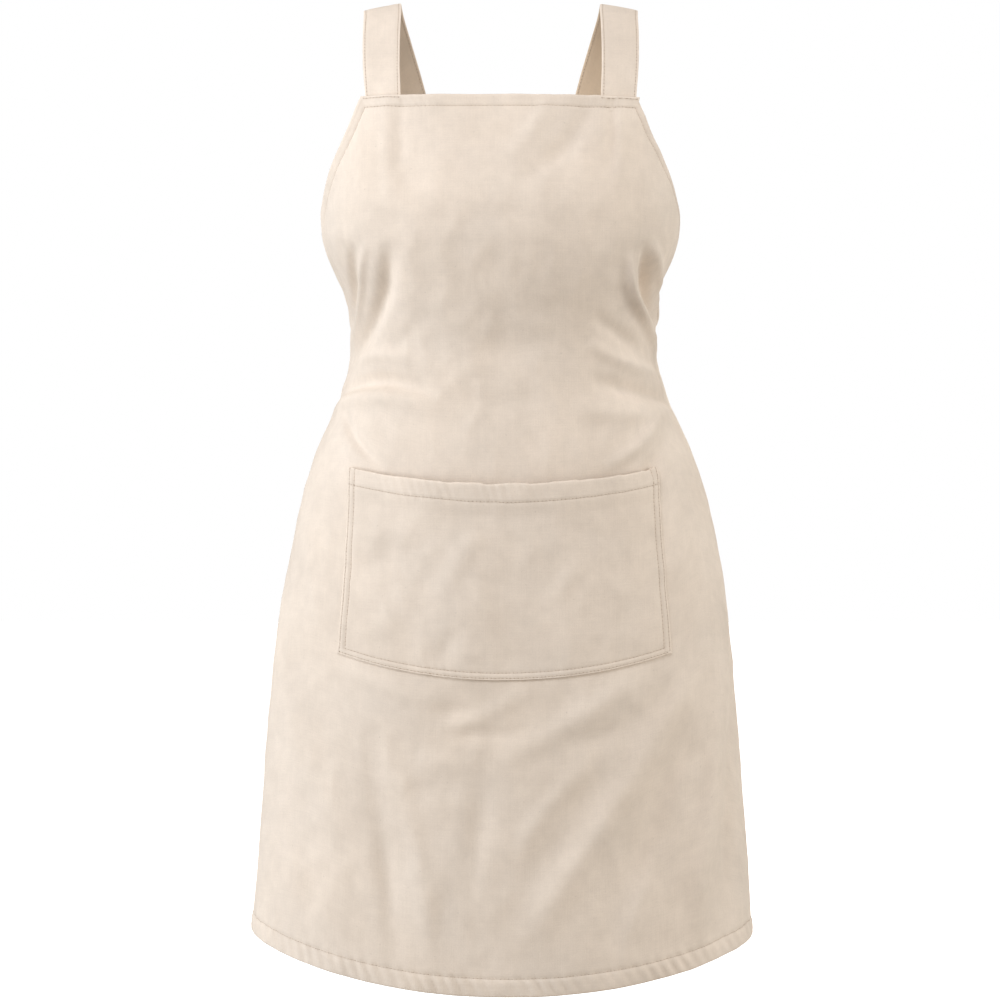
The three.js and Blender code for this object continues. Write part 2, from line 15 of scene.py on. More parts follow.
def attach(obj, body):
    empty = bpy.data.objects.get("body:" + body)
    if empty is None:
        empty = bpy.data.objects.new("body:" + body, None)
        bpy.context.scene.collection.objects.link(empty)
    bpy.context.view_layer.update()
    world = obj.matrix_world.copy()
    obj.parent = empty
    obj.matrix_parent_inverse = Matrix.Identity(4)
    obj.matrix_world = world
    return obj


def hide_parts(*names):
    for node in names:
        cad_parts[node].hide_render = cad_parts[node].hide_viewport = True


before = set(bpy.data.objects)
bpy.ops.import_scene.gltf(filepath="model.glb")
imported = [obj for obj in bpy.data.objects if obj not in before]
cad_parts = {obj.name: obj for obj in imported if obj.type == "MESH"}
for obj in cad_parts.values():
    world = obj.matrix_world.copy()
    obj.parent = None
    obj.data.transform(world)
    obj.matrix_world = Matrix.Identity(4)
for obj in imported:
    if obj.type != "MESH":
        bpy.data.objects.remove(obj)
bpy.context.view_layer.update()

MM = 0.001

# Layers of cloth
CLOTH = 1.2
TURNED_CLOTH = 0.9
HEM_GAP_BEHIND = 0.1
STRAP_CLOTH = 2.2
POCKET_GAP = 0.5

# Drops
BIB_DROP = 98
WAIST_DROP = 345
WING_DROP = 420
HEM_DROP = 921
HEM_DIP = 27  # how much lower the hem hangs in front than at the sides
HEM_SLANT = 2.8  # how much lower the hem hangs on the right

# Half widths, and depths in front of and behind the shoulders
BIB_HALF_WIDTH = 134.5
BUST_HALF_WIDTH = 179
BUST_FRONT = 134
BUST_BACK = 105
WAIST_HALF_WIDTH = 150
WAIST_FRONT = 112
WAIST_BACK = 88
HEM_HALF_WIDTH = 252
HEM_FRONT = 185
HEM_BACK = 125
HEM_FORWARD = 40
SKIRT_ASIDE = 3.5
WING_GAP = 18
HEM_GAP = 62

# Turned hems
BIB_HEM = 11
ARMHOLE_HEM = 9
SKIRT_HEM = 17
BACK_HEM = 12
POCKET_HEM = 16

# Pocket
POCKET_DROP = 456
POCKET_HEIGHT = 177
POCKET_TOP_HALF_WIDTH = 148.5
POCKET_BOTTOM_HALF_WIDTH = 160
POCKET_TOP_DIP = 14
POCKET_BOTTOM_DIP = 21
POCKET_GAPE = 9
POCKET_SEAM = 1.7
POCKET_SECOND_SEAM = 6.5

# Straps
STRAP_WIDTH = 38
STRAP_TUCK = 14
STRAP_SEAM = 2.5
STRAP_END_SEAM = 2.6  # from the bib's top edge to the stitches across a strap's end
STRAP_SEAT_DEPTH = 3.6
SHOULDER_SPREAD = 118
SHOULDER_DEPTH = 105
CROSSING_DROP = 330
WING_SEAT = 40
STRAP_LIFT = 3.4

# Stitches. Each ring has its share of the stitch's length, its height and its size.
STITCH = 3.0
STITCH_SPACE = 0.7
THREAD_RADIUS = 0.28
STITCH_SIDES = 5
STITCH_RINGS = ((0, -0.35, 0.75), (0.2, 0.1, 1), (0.5, 0.2, 1), (0.8, 0.1, 1), (1, -0.35, 0.75))
# Dark discs in the needle holes between stitches: painted shadow
HOLE_SIDES = 6
HOLE_LONG = 0.55
HOLE_WIDE = 0.42
HOLE_HEIGHT = 0.12

# Waves and creases of the cloth, and the band over the hem where the folds fade
WAVE_SIZE = 95
WAVE_HEIGHT = 2.5
CRUMPLE_SIZE = 34
CRUMPLE_HEIGHT = 1.15
CALM_HEM = 70

# Grids. Angles are in radians.
BIB_STEPS = 116
FRONT_STEPS = 84
BEHIND_STEPS = 34
DOWN_STEPS = 200
POCKET_STEPS = 112
POCKET_DOWN_STEPS = 72
STRAP_STEPS = 300
TURN_STEP = 0.01
PAST_SIDE = 1.9
MITRE_END = 1.25
SIDE_BAND = 0.13
BESIDE_SEAM = 0.0014
UPPER_HEM_ROWS = (0, 0.06, 0.16, 0.34, 0.55, 0.78, 0.93, 1)
BOTTOM_HEM_ROWS = (0.06, 0.2, 0.4, 0.6, 0.8, 0.94, 1)
NEAR_WING_INSETS = (14, BACK_HEM, 9, 5.5, 2.5, 0.8, 0)
BACK_COLUMN = NEAR_WING_INSETS[::-1].index(BACK_HEM)
STRAP_INSETS = (0, 0.5, 1.3, STRAP_SEAM, 4, 6.5, 10, 14)
POCKET_INSETS = (0, 0.5, 1, POCKET_SEAM, 2.8, 4.2, 5.6, POCKET_SECOND_SEAM, 7.4, 9)

# Cross sections: drop, half width, depth in front, depth behind, shift forward, shift aside and
# roundness. Above the waist the drop is a share of the waist's drop, and the sizes are shares of
# the way from the waist's size to the bust's.
CHEST_SECTIONS = (
    (0.17, 0.86, -1.9, 0.5, 0, 0, 0.8),
    (0.28, 0.9, -0.9, 0.8, 0, 0, 0.8),
    (0.43, 0.96, 0.05, 0.95, 0, 0, 0.8),
    (0.6, 1, 1, 1, 0, 0, 0.8),
    (0.66, 0.97, 1.02, 0.95, 0, 0, 0.81),
    (0.71, 0.82, 0.96, 0.88, 0, 0.05, 0.82),
    (0.77, 0.52, 0.82, 0.75, 0, 0.1, 0.84),
    (0.83, 0.2, 0.62, 0.55, 0, 0.25, 0.86),
    (0.91, 0.05, 0.27, 0.25, 0, 0.5, 0.88),
)
# Cross sections from the waist down, as shares of the way from the waist to the hem.
SKIRT_SECTIONS = (
    (0, 0, 0, 0, 0, 0.7, 0.89),
    (0.035, 0.03, 0.01, 0.03, 0, 0.8, 0.89),
    (0.07, 0.12, 0.03, 0.08, 0.01, 0.85, 0.89),
    (0.104, 0.19, 0.07, 0.2, 0.03, 0.9, 0.9),
    (0.174, 0.37, 0.18, 0.45, 0.08, 0.9, 0.9),
    (0.243, 0.5, 0.27, 0.68, 0.14, 0.9, 0.91),
    (0.313, 0.595, 0.35, 0.83, 0.22, 0.95, 0.91),
    (0.418, 0.7, 0.46, 0.93, 0.33, 1, 0.92),
    (0.523, 0.76, 0.56, 0.96, 0.46, 0.95, 0.92),
    (0.661, 0.825, 0.67, 0.98, 0.62, 0.7, 0.93),
    (0.836, 0.905, 0.82, 0.99, 0.82, 0.3, 0.94),
    (1, 1, 1, 1, 1, 0, 0.94),
)

# The armhole edge, from the bib's corner to the wing's: share of the angle, share of the drop.
ARMHOLE = (
    (0, 0), (0.056, 0.1), (0.153, 0.22), (0.253, 0.34), (0.295, 0.46), (0.328, 0.58),
    (0.39, 0.67), (0.505, 0.77), (0.66, 0.86), (0.83, 0.94), (1, 1),
)

# Colours, and the share of the darker inner colour, a painted shade, on the wearer's side of the
# cloth. The right strap takes all of it, as a painted shadow on its back part.
CANVAS_WARM = (0.80, 0.70, 0.595, 1)
CANVAS_PALE = (0.82, 0.725, 0.625, 1)
CANVAS_INNER_SHADE = (0.6, 0.475, 0.345, 1)
THREAD_DARK = (0.6, 0.5, 0.4, 1)
THREAD_PALE = (0.78, 0.68, 0.57, 1)
# The needle holes' painted shadow
HOLE_SHADOW_COLOUR = (0.33, 0.235, 0.165, 1)
THREAD_PITCH = 0.5
INNER_SHADE_SHARE = 0.6
LEFT_STRAP_SHADE_SHARE = 0.42
RIGHT_STRAP_SHADE_SHARE = 1

# Folds: angle and drop of the start, of the middle and of the end, half width and height. A
# height under zero is a hollow.
FOLDS = (
    # Left of the waist
    (-50, 240, -69, 286, -92, 326, 6, -7),
    (-42, 236, -60, 286, -82, 340, 5, 4),
    (-33, 240, -49, 299, -82, 358, 9, -9.6),
    (-26, 304, -34, 326, -48, 346, 9, -1.4),
    (-80, 362, -54, 347, -24, 358, 8, 3.6),
    (-98, 404, -56, 373, -20, 386, 8, -7),
    (-98, 400, -54, 388, -18, 396, 9, 3.4),
    (-70, 398, -52, 428, -34, 456, 5, -4.4),
    (-92, 300, -92, 345, -94, 386, 22, 3.4),
    # Right of the waist
    (52, 236, 68, 266, 92, 296, 5, 4.4),
    (47, 240, 64, 284, 88, 320, 7.5, -12),
    (42, 248, 56, 298, 90, 346, 6, 11),
    (32, 308, 49, 330, 72, 348, 8, -4.4),
    (30, 334, 53, 356, 96, 374, 7.5, 4.2),
    (84, 290, 90, 304, 96, 316, 9, 5),
    (30, 374, 55, 382, 94, 396, 9, -8.4),
    (20, 393, 42, 404, 84, 402, 10, 4),
    (14, 424, 24, 422, 36, 420, 13, -1.2),
    (62, 408, 43, 434, 27, 456, 7, 6.5),
    (62, 424, 48, 450, 42, 464, 6, -3.4),
    (92, 296, 92, 340, 94, 386, 22, 4),
    # Bib
    (-34, 102, -33, 150, -31, 220, 7, 1.6),
    (-28, 98, -27.5, 142, -26, 190, 6, -1.1),
    (-26, 98, -25, 146, -23, 210, 13, -1.3),
    (37, 100, 35, 146, 33, 200, 9, 2.6),
    (32.5, 98, 32, 136, 31, 176, 6, -2.8),
    (24, 98, 17, 142, 1, 184, 9, -4.8),
    (11, 98, 7, 130, -1, 166, 10, 3.2),
    (1, 290, 1, 326, 1, 366, 14, -0.7),
    (-20, 290, -12, 330, -8, 370, 16, 1.2),
    (-10, 196, 2, 214, 16, 222, 12, -0.9),
    (-12, 384, -2, 392, 10, 386, 10, -1.4),
    # Pocket
    (-5, 515, -10, 545, -14, 580, 10, 2.2),
    (-5, 560, -7, 606, -8, 660, 22, 3.4),
    (-42, 560, -32, 545, -20, 552, 12, -2.6),
    (-40, 520, -30, 515, -18, 524, 12, 2.2),
    (20, 540, 14, 560, 9, 590, 9, 1.6),
    (12, 500, 20, 516, 30, 520, 12, -1.4),
    (-10, 605, -12, 622, -14, 640, 8, -1.2),
    (-20, 560, -26, 590, -30, 620, 12, 1.4),
    (34, 560, 30, 590, 24, 620, 12, -1.4),
    # Under the pocket
    (-42, 644, -27, 662, -11, 678, 9, 2.4),
    (-16, 682, -9, 684, -2, 680, 6, -2.1),
    (6, 662, -4, 686, -14, 700, 7, 2.2),
    (-13, 704, -4, 706, 6, 702, 6, -2.4),
    (36, 648, 20, 682, -3, 736, 11, 4),
    (42, 656, 28, 700, 12, 716, 11, -3.6),
    (20, 732, 9, 775, 3, 820, 9, 3),
    (26, 716, 14, 786, 2, 866, 13, -3),
    # Long soft drapes of the skirt
    (54, 640, 25, 778, -3, 946, 14, 6.6),
    (50, 690, 34, 800, 20, 910, 15, -5),
    (74, 640, 56, 780, 42, 1010, 13, 7),
    (80, 690, 66, 817, 54, 1000, 15, -7),
    (35, 840, 28, 895, 22, 990, 10, 4),
    (-32, 720, -25, 850, -18, 1020, 11, -3.6),
    (-23, 740, -16, 860, -7, 1010, 12, 3),
    (-12, 850, -12, 905, -11, 990, 9, -3),
    (-72, 640, -58, 725, -38, 790, 15, 2.4),
    (-62, 700, -50, 820, -44, 1040, 20, -3),
    (-84, 560, -78, 750, -72, 1060, 22, 3.5),
    (-3, 740, -5, 800, -7, 870, 12, -3),
    (-22, 756, -16, 758, -7, 752, 11, -2.4),
    (-19, 728, -13, 732, -4, 732, 11, 2.4),
    (-16, 800, -14, 860, -18, 930, 16, 2),
    # Right side
    (86, 560, 84, 760, 82, 1100, 24, 3.4),
)
# Folds of the right side and back, which the left has as in a mirror
SIDE_FOLDS = (
    (112, 332, 118, 410, 128, 516, 14, 5),
    (134, 387, 138, 540, 142, 690, 18, 5),
    (124, 570, 127, 800, 130, 1150, 30, 7),
    (104, 608, 106, 800, 108, 1150, 26, -5),
    (146, 600, 147, 800, 148, 1150, 22, -4),
)
FOLD_SEGMENTS = 14
FOLD_REACH = 2.6  # how many half widths from its line a fold is followed

# A strap's way: out, depth and drop as shares of the shoulder's spread and depth and of the
# crossing's drop, tilt and turn in degrees, and the share of the lift over the other strap.
STRAP_WAY = (
    (0.985, -0.58, 0.2, 0, -17, 0),
    (0.99, -0.42, 0.104, 3, -12, 0),
    (0.99, -0.2, 0.033, 9, -5, 0),
    (1, 0.03, 0.005, 11, 0, 0),
    (0.985, 0.27, 0.037, 14, 4, 0),
    (0.93, 0.5, 0.104, 15, 8, 0),
    (0.85, 0.68, 0.2, 16, 12, 0),
    (0.75, 0.82, 0.33, 18, 12, 0),
    (0.59, 0.93, 0.5, 20, 10, 0.1),
    (0.4, 0.97, 0.67, 21, 4, 0.7),
    (0.2, 0.98, 0.84, 22, 0, 1),
    (0, 0.97, 1, 23, 0, 1),
    (-0.18, 0.93, 1.14, 24, 0, 1),
)


# Surfaces
def mix(a, b, share):
    return a + share * (b - a)


def smooth_step(value):
    share = np.clip(value, 0, 1)
    return share * share * (3 - 2 * share)


def signed_power(value, power):
    return np.sign(value) * np.abs(value) ** power


def dot(first, second):
    return np.sum(first * second, axis=-1)


def unit(vectors):
    return vectors / np.linalg.norm(vectors, axis=-1, keepdims=True)


def curve_through(x, y):
    """A smooth curve that doesn't overshoot, and runs on straight past its ends."""
    x = np.asarray(x, float)
    y = np.asarray(y, float)
    secant = np.diff(y) / np.diff(x)
    together = secant[:-1] * secant[1:]
    total = np.where(together > 0, secant[:-1] + secant[1:], 1)
    inner = np.where(together > 0, 2 * together / total, 0)
    slope = np.concatenate([secant[:1], inner, secant[-1:]])

    def at(where):
        where = np.asarray(where, float)
        i = np.clip(np.searchsorted(x, where, "right") - 1, 0, len(x) - 2)
        span = x[i + 1] - x[i]
        t = np.clip((where - x[i]) / span, 0, 1)
        rise = y[i + 1] - y[i]
        start = slope[i] * span
        end = slope[i + 1] * span
        bend = 3 * rise - 2 * start - end + t * (start + end - 2 * rise)
        inside = y[i] + t * (start + t * bend)
        before = np.minimum(where - x[0], 0) * slope[0]
        after = np.maximum(where - x[-1], 0) * slope[-1]
        return inside + before + after

    return at


def section_curves():
    """Curves over the drop for each column of the cross sections but the first."""
    chest = np.array(CHEST_SECTIONS).T
    skirt = np.array(SKIRT_SECTIONS).T
    sizes = (
        (WAIST_HALF_WIDTH, BUST_HALF_WIDTH, HEM_HALF_WIDTH),
        (WAIST_FRONT, BUST_FRONT, HEM_FRONT),
        (WAIST_BACK, BUST_BACK, HEM_BACK),
        (0, HEM_FORWARD, HEM_FORWARD),
        (0, SKIRT_ASIDE, SKIRT_ASIDE),
        (0, 1, 1),
    )
    drops = [*(chest[0] * WAIST_DROP), *mix(WAIST_DROP, HEM_DROP, skirt[0])]
    return [
        curve_through(drops, [*mix(waist, bust, above), *mix(waist, hem, below)])
        for (waist, bust, hem), above, below in zip(sizes, chest[1:], skirt[1:])
    ]


width_at, front_at, back_at, forward_at, aside_at, round_at = section_curves()


def angle_at(side, drop):
    """The angle at which the front of the body is that far to the side."""
    share = np.minimum(1, np.abs(side) / width_at(drop))
    return np.sign(side) * np.arcsin(share ** (1 / round_at(drop)))


def body_point(angle, drop):
    """The smooth body under the folds."""
    angle, drop = np.broadcast_arrays(angle, drop)
    rounding = round_at(drop)
    forward = forward_at(drop)
    ahead = signed_power(np.cos(angle), rounding)
    depth = np.where(ahead > 0, front_at(drop) - forward, back_at(drop) + forward)
    side = aside_at(drop) + width_at(drop) * signed_power(np.sin(angle), rounding)
    return np.stack([side, -forward - depth * ahead, -drop], axis=-1)


def run_of(angle, drop):
    """Per radian round the body, per millimetre down, and outwards."""
    across = body_point(angle + TURN_STEP, drop) - body_point(angle - TURN_STEP, drop)
    across = across / (2 * TURN_STEP)
    down = (body_point(angle, drop + 1) - body_point(angle, drop - 1)) / 2
    return across, down, unit(np.cross(down, across))


def mirrored(fold):
    return tuple(-value if i in (0, 2, 4) else value for i, value in enumerate(fold))


ALL_FOLDS = [*FOLDS, *SIDE_FOLDS, *map(mirrored, SIDE_FOLDS)]


def fold_path(fold):
    """Points on the body along a fold."""
    start, middle, end = np.array(fold[:6], float).reshape(3, 2)
    t = np.linspace(0, 1, FOLD_SEGMENTS + 1)[:, None]
    places = start * (1 - t) * (1 - 2 * t) + middle * 4 * t * (1 - t) + end * t * (2 * t - 1)
    return body_point(np.radians(places[:, 0]), places[:, 1])


FOLD_PATHS = [fold_path(fold) for fold in ALL_FOLDS]


def fold_lift(points):
    """How far the folds lift the cloth off the body at points on it."""
    flat = points.reshape(-1, 3)
    lift = np.zeros(len(flat))
    for (*_, half_width, height), path in zip(ALL_FOLDS, FOLD_PATHS):
        reach = FOLD_REACH * half_width
        low = path.min(axis=0) - reach
        high = path.max(axis=0) + reach
        near = np.flatnonzero(np.all((flat > low) & (flat < high), axis=1))
        if not len(near):
            continue
        off = flat[near][:, None] - path[:-1]
        along = np.diff(path, axis=0)
        share = np.clip(dot(off, along) / dot(along, along), 0, 1)
        away = np.linalg.norm(off - share[..., None] * along, axis=2)
        best = np.argmin(away, axis=1)
        picked = np.arange(len(near))
        t = (best + share[picked, best]) / FOLD_SEGMENTS
        swell = np.clip(4 * t * (1 - t), 0, 1) ** 0.9
        lift[near] += height * swell * np.exp(-((away[picked, best] / half_width) ** 2))
    hem = smooth_step((-flat[:, 2] - HEM_DROP + CALM_HEM) / CALM_HEM)
    front = smooth_step((0.35 * HEM_FRONT - flat[:, 1]) / HEM_FRONT)
    return (lift * (1 - 0.65 * hem * front)).reshape(points.shape[:-1])


def noise_over(points, size, seed, stretch=(1, 1, 1)):
    """Smooth noise from -1 to 1 over points, with waves of about that size."""
    flat = points.reshape(-1, 3) / size * np.array(stretch) + seed * 17.3
    values = [noise.noise(Vector(place)) for place in flat.tolist()]
    return np.array(values).reshape(points.shape[:-1])


def cloth_point(angle, drop):
    """The outer face of the cloth with its folds, on arrays of places."""
    base = body_point(angle, drop)
    normal = run_of(angle, drop)[2]
    lift = fold_lift(base)
    lift += WAVE_HEIGHT * noise_over(base, WAVE_SIZE, 1, (1, 1, 0.55))
    lift += CRUMPLE_HEIGHT * crumple(base)
    return base + normal * lift[..., None]


def crumple(points):
    """Low creases with sharper tops than hollows, as in a canvas that has been worn."""
    waves = noise_over(points, CRUMPLE_SIZE, 2, (1, 1, 0.75))
    more = noise_over(points, 0.55 * CRUMPLE_SIZE, 3)
    return 0.5 - 1.6 * np.abs(waves) + 0.35 * more


def step_on_body(angle, drop, step):
    """The place that a step along the body leads to."""
    across, down, _ = run_of(angle, drop)
    aa = dot(across, across)
    ad = dot(across, down)
    dd = dot(down, down)
    a = dot(step, across)
    d = dot(step, down)
    scale = 1 / (aa * dd - ad * ad)
    return angle + (a * dd - d * ad) * scale, drop + (d * aa - a * ad) * scale


BIB_CORNER = float(angle_at(BIB_HALF_WIDTH, BIB_DROP))


def back_edge_angle(drop, inset):
    share = np.maximum(0, drop - WING_DROP) / (HEM_DROP - WING_DROP)
    return np.pi - angle_at(mix(WING_GAP, HEM_GAP, share) + inset, np.maximum(WING_DROP, drop))


WING_CORNER = float(back_edge_angle(WING_DROP, 0))
armhole_fall = curve_through(*zip(*ARMHOLE))


def upper_drop(angle):
    """The drop of the cloth's upper edge: the bib's top, and the armholes beside it."""
    turn = (np.abs(angle) - BIB_CORNER) / (WING_CORNER - BIB_CORNER)
    return np.where(turn <= 0, BIB_DROP, mix(BIB_DROP, WING_DROP, armhole_fall(turn)))


def into_cloth(angle, side):
    """The direction into the cloth, square to its upper edge, on the side of that sign."""
    here = body_point(angle, upper_drop(angle))
    onward = angle + TURN_STEP * side
    along = (body_point(onward, upper_drop(onward)) - here) * np.asarray(side)[..., None]
    normal = run_of(angle, upper_drop(angle))[2]
    return unit(np.cross(along, normal))


def corner_hem_place():
    """The inner border of the turned hem at the bib's right corner, where two hems meet."""
    bib = into_cloth(BIB_CORNER, -1)
    armhole = into_cloth(BIB_CORNER, 1)
    shared = float(bib @ armhole)
    scale = 1 / (1 - shared * shared)
    step = bib * (BIB_HEM - ARMHOLE_HEM * shared) * scale
    step = step + armhole * (ARMHOLE_HEM - BIB_HEM * shared) * scale
    return step_on_body(BIB_CORNER, BIB_DROP, step)


def spread_out(start, end, steps, power=1.0):
    return mix(start, end, np.linspace(0, 1, steps + 1) ** power)


def side_columns():
    """Angles at the upper edge and insets of the columns right of the bib."""
    near_wing = back_edge_angle(WING_DROP, np.array(NEAR_WING_INSETS))
    front = spread_out(BIB_CORNER, PAST_SIDE, FRONT_STEPS, 1.12)[1:]
    behind = spread_out(PAST_SIDE, near_wing[0], BEHIND_STEPS)[1:-1]
    plain = len(front) + len(behind)
    angles = np.concatenate([front, behind, near_wing])
    insets = np.array([BACK_HEM] * plain + list(NEAR_WING_INSETS), float)
    return angles, insets, np.arange(len(angles)) >= plain


def hem_drop(angle):
    dip = HEM_DIP * np.maximum(0, np.cos(angle)) ** 2.5
    return HEM_DROP + dip + HEM_SLANT * (0.8 + np.sin(angle))


def mitred(columns, corner_angle):
    """Where along the armhole each column takes its hem from, past the bib corner's mitre."""
    trial = np.linspace(BIB_CORNER, MITRE_END, 60)
    inward = into_cloth(trial, np.ones(len(trial)))
    foot = step_on_body(trial, upper_drop(trial), inward * ARMHOLE_HEM)[0]
    mitre = np.interp(corner_angle, foot, trial)
    beside = (columns > BIB_CORNER) & (columns < MITRE_END)
    share = (columns - BIB_CORNER) / (MITRE_END - BIB_CORNER)
    return np.where(beside, mix(mitre, MITRE_END, share), columns)


def body_grid():
    """Angles and drops of the body's grid, its rows down and its columns to the right."""
    angles, insets, wing = side_columns()
    bib = spread_out(-BIB_CORNER, BIB_CORNER, BIB_STEPS)
    columns = np.concatenate([-angles[::-1], bib, angles])
    insets = np.concatenate([insets[::-1], np.full(len(bib), float(BACK_HEM)), insets])
    wing = np.concatenate([wing[::-1], np.zeros(len(bib), bool), wing])
    side = np.where(columns < 0, -1.0, 1.0)
    edge_drop = upper_drop(columns)
    corner_angle, corner_drop = corner_hem_place()
    source = mitred(np.abs(columns), corner_angle) * side
    inward = into_cloth(source, side)
    hem_angle, hem_line = step_on_body(source, upper_drop(source), inward * ARMHOLE_HEM)
    down = run_of(columns, edge_drop)[1]
    square = ARMHOLE_HEM / dot(inward, down)
    # The hem keeps an even width round the body's sides, where its section turns sharply.
    at_side = np.abs(np.abs(columns) - math.pi / 2) < SIDE_BAND
    steps = np.arange(len(columns))
    for line, edge in ((hem_angle, columns), (hem_line, edge_drop)):
        gap = np.interp(steps[at_side], steps[~at_side], (line - edge)[~at_side])
        line[at_side] = edge[at_side] + gap
    hem_angle = np.where(wing, columns, hem_angle)
    hem_line = np.where(wing, edge_drop + square, hem_line)
    on_bib = np.abs(columns) <= BIB_CORNER + 1e-9
    hem_angle = np.where(on_bib, corner_angle * columns / BIB_CORNER, hem_angle)
    hem_line = np.where(on_bib, corner_drop, hem_line)
    bottom = hem_drop(hem_angle)

    def place(drop):
        ratio = back_edge_angle(drop, insets) / back_edge_angle(hem_line, insets)
        return hem_angle * ratio, drop

    rows = [
        (mix(columns, hem_angle, share), mix(edge_drop, hem_line, share))
        for share in UPPER_HEM_ROWS
    ]
    waist = WAIST_DROP / HEM_DROP
    even = np.linspace(0, 1, DOWN_STEPS + 1)[1:]
    wave = np.sin(2 * np.pi * (even - waist)) + np.sin(2 * np.pi * waist)
    bunched = even - 0.05 * wave
    bunched = [BESIDE_SEAM, *bunched[:-1], 1 - BESIDE_SEAM, 1]
    rows += [place(mix(hem_line, bottom - SKIRT_HEM, share)) for share in bunched]
    rows += [place(mix(bottom - SKIRT_HEM, bottom, share)) for share in BOTTOM_HEM_ROWS]
    angle, drop = (np.array(part) for part in zip(*rows))
    return angle, drop, len(angles)


# Meshes
def grid_normals(points):
    return unit(np.cross(np.gradient(points, axis=0), np.gradient(points, axis=1)))


def grid_index(rows, columns):
    return np.arange(rows * columns).reshape(rows, columns)


def border(index):
    """The indices round a grid, from its first corner along the first row and back to it."""
    parts = [index[0, :-1], index[:-1, -1], index[-1, :0:-1], index[:0:-1, 0], index[0, :1]]
    return np.concatenate(parts)


def quads(index):
    corners = [index[:-1, :-1], index[1:, :-1], index[1:, 1:], index[:-1, 1:]]
    return np.stack(corners, axis=-1).reshape(-1, 4)


def flat_lengths(points, middle):
    """Lengths along the cloth from its middle column and down from its top row."""
    across = np.linalg.norm(np.diff(points, axis=1), axis=2)
    run = np.concatenate([np.zeros((len(points), 1)), np.cumsum(across, axis=1)], axis=1)
    run -= run[:, middle : middle + 1]
    down = np.linalg.norm(np.diff(points, axis=0), axis=2)
    fall = np.concatenate([np.zeros((1, points.shape[1])), np.cumsum(down, axis=0)], axis=0)
    return run, fall - points[:1, :, 2]


def mesh_object(name, points, faces, uv, shades, material):
    mesh = bpy.data.meshes.new(name)
    mesh.from_pydata((points * MM).tolist(), [], faces)
    layer = mesh.uv_layers.new(name="flat")
    corners = np.empty(len(mesh.loops), np.int32)
    mesh.loops.foreach_get("vertex_index", corners)
    layer.data.foreach_set("uv", (uv[corners] * MM).ravel())
    for shade_name, values in shades.items():
        shade = mesh.attributes.new(shade_name, "FLOAT", "POINT")
        shade.data.foreach_set("value", values.astype(np.float32).ravel())
    mesh.shade_smooth()
    mesh.materials.append(material)
    piece = bpy.data.objects.new(name, mesh)
    bpy.context.scene.collection.objects.link(piece)
    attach(piece, "root")
    return piece


def overshoot(outer, normals):
    """How far every second point's mesh stands in front of the full one, near each point."""
    halved = outer[::2, ::2]
    between = np.empty_like(outer)
    between[::2, ::2] = halved
    between[1::2, ::2] = (halved[:-1] + halved[1:]) / 2
    between[:, 1::2] = (between[:, :-2:2] + between[:, 2::2]) / 2
    ahead = np.pad(np.maximum(0, dot(between - outer, normals)), 2)
    rows, columns = outer.shape[:2]
    around = [
        ahead[i : i + rows : 2, k : k + columns : 2] for i in range(5) for k in range(5)
    ]
    return 1.2 * np.max(around, axis=0)


def shell(name, node, outer, thickness, uv, worn, seam, coarse=1, inside=INNER_SHADE_SHARE):
    """A closed layer of canvas behind a grid of points, whose inner face may be half as fine."""
    normals = grid_normals(outer)
    inner = outer - normals * np.asarray(thickness)[..., None]
    picked = inner[::coarse, ::coarse]
    if coarse > 1:
        picked = picked - normals[::2, ::2] * overshoot(outer, normals)[..., None]
    index = grid_index(*outer.shape[:2])
    low = index.size + grid_index(*picked.shape[:2])
    faces = quads(index).tolist() + quads(low)[:, [0, 3, 2, 1]].tolist()
    fine_loop = border(index)
    low_loop = border(low)
    for i in range(len(low_loop) - 1):
        edge = fine_loop[i * coarse : (i + 1) * coarse + 1]
        behind, after = low_loop[i : i + 2]
        if coarse == 1:
            faces.append([*edge, after, behind])
        else:
            faces.append([*edge[:2], behind])
            faces.append([edge[1], after, behind])
            faces.append([*edge[1:], after])

    def both(values):
        """Values at the points of the outer face, then at those of the inner face."""
        size = values.shape[2:]
        fine = values.reshape(-1, *size)
        return np.concatenate([fine, values[::coarse, ::coarse].reshape(-1, *size)])

    points = np.concatenate([outer.reshape(-1, 3), picked.reshape(-1, 3)])
    # The wearer's side takes its share of the darker inner colour: painted shade.
    inner_painted_shade = np.repeat([0, inside], [index.size, low.size])
    shades = {"worn": both(worn), "seam": both(seam), "inner": inner_painted_shade}
    piece = mesh_object(name, points, faces, both(np.stack(uv, axis=-1)), shades, canvas)
    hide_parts(node)
    return piece


# Materials
def connect(tree, node, inputs):
    """Link each input to a socket or give it a value."""
    for socket, value in inputs.items():
        if isinstance(value, bpy.types.NodeSocket):
            tree.links.new(value, node.inputs[socket])
        else:
            node.inputs[socket].default_value = value


def add_node(tree, kind, output, inputs, **settings):
    """A new node's output."""
    node = tree.nodes.new("ShaderNode" + kind)
    for setting, value in settings.items():
        setattr(node, setting, value)
    connect(tree, node, inputs)
    return node.outputs[output]


def new_material(name, inputs):
    material = bpy.data.materials.new(name)
    material.use_nodes = True
    shader = material.node_tree.nodes["Principled BSDF"]
    connect(material.node_tree, shader, inputs)
    return material, material.node_tree, shader


def add_bump(tree, shader, height, strength, distance):
    inputs = {"Strength": strength, "Distance": distance * MM, "Height": height}
    connect(tree, shader, {"Normal": add_node(tree, "Bump", "Normal", inputs)})


def mixed(tree, factor, first, second):
    inputs = {"Factor": factor, "A": first, "B": second}
    return add_node(tree, "Mix", "Result", inputs, data_type="RGBA")


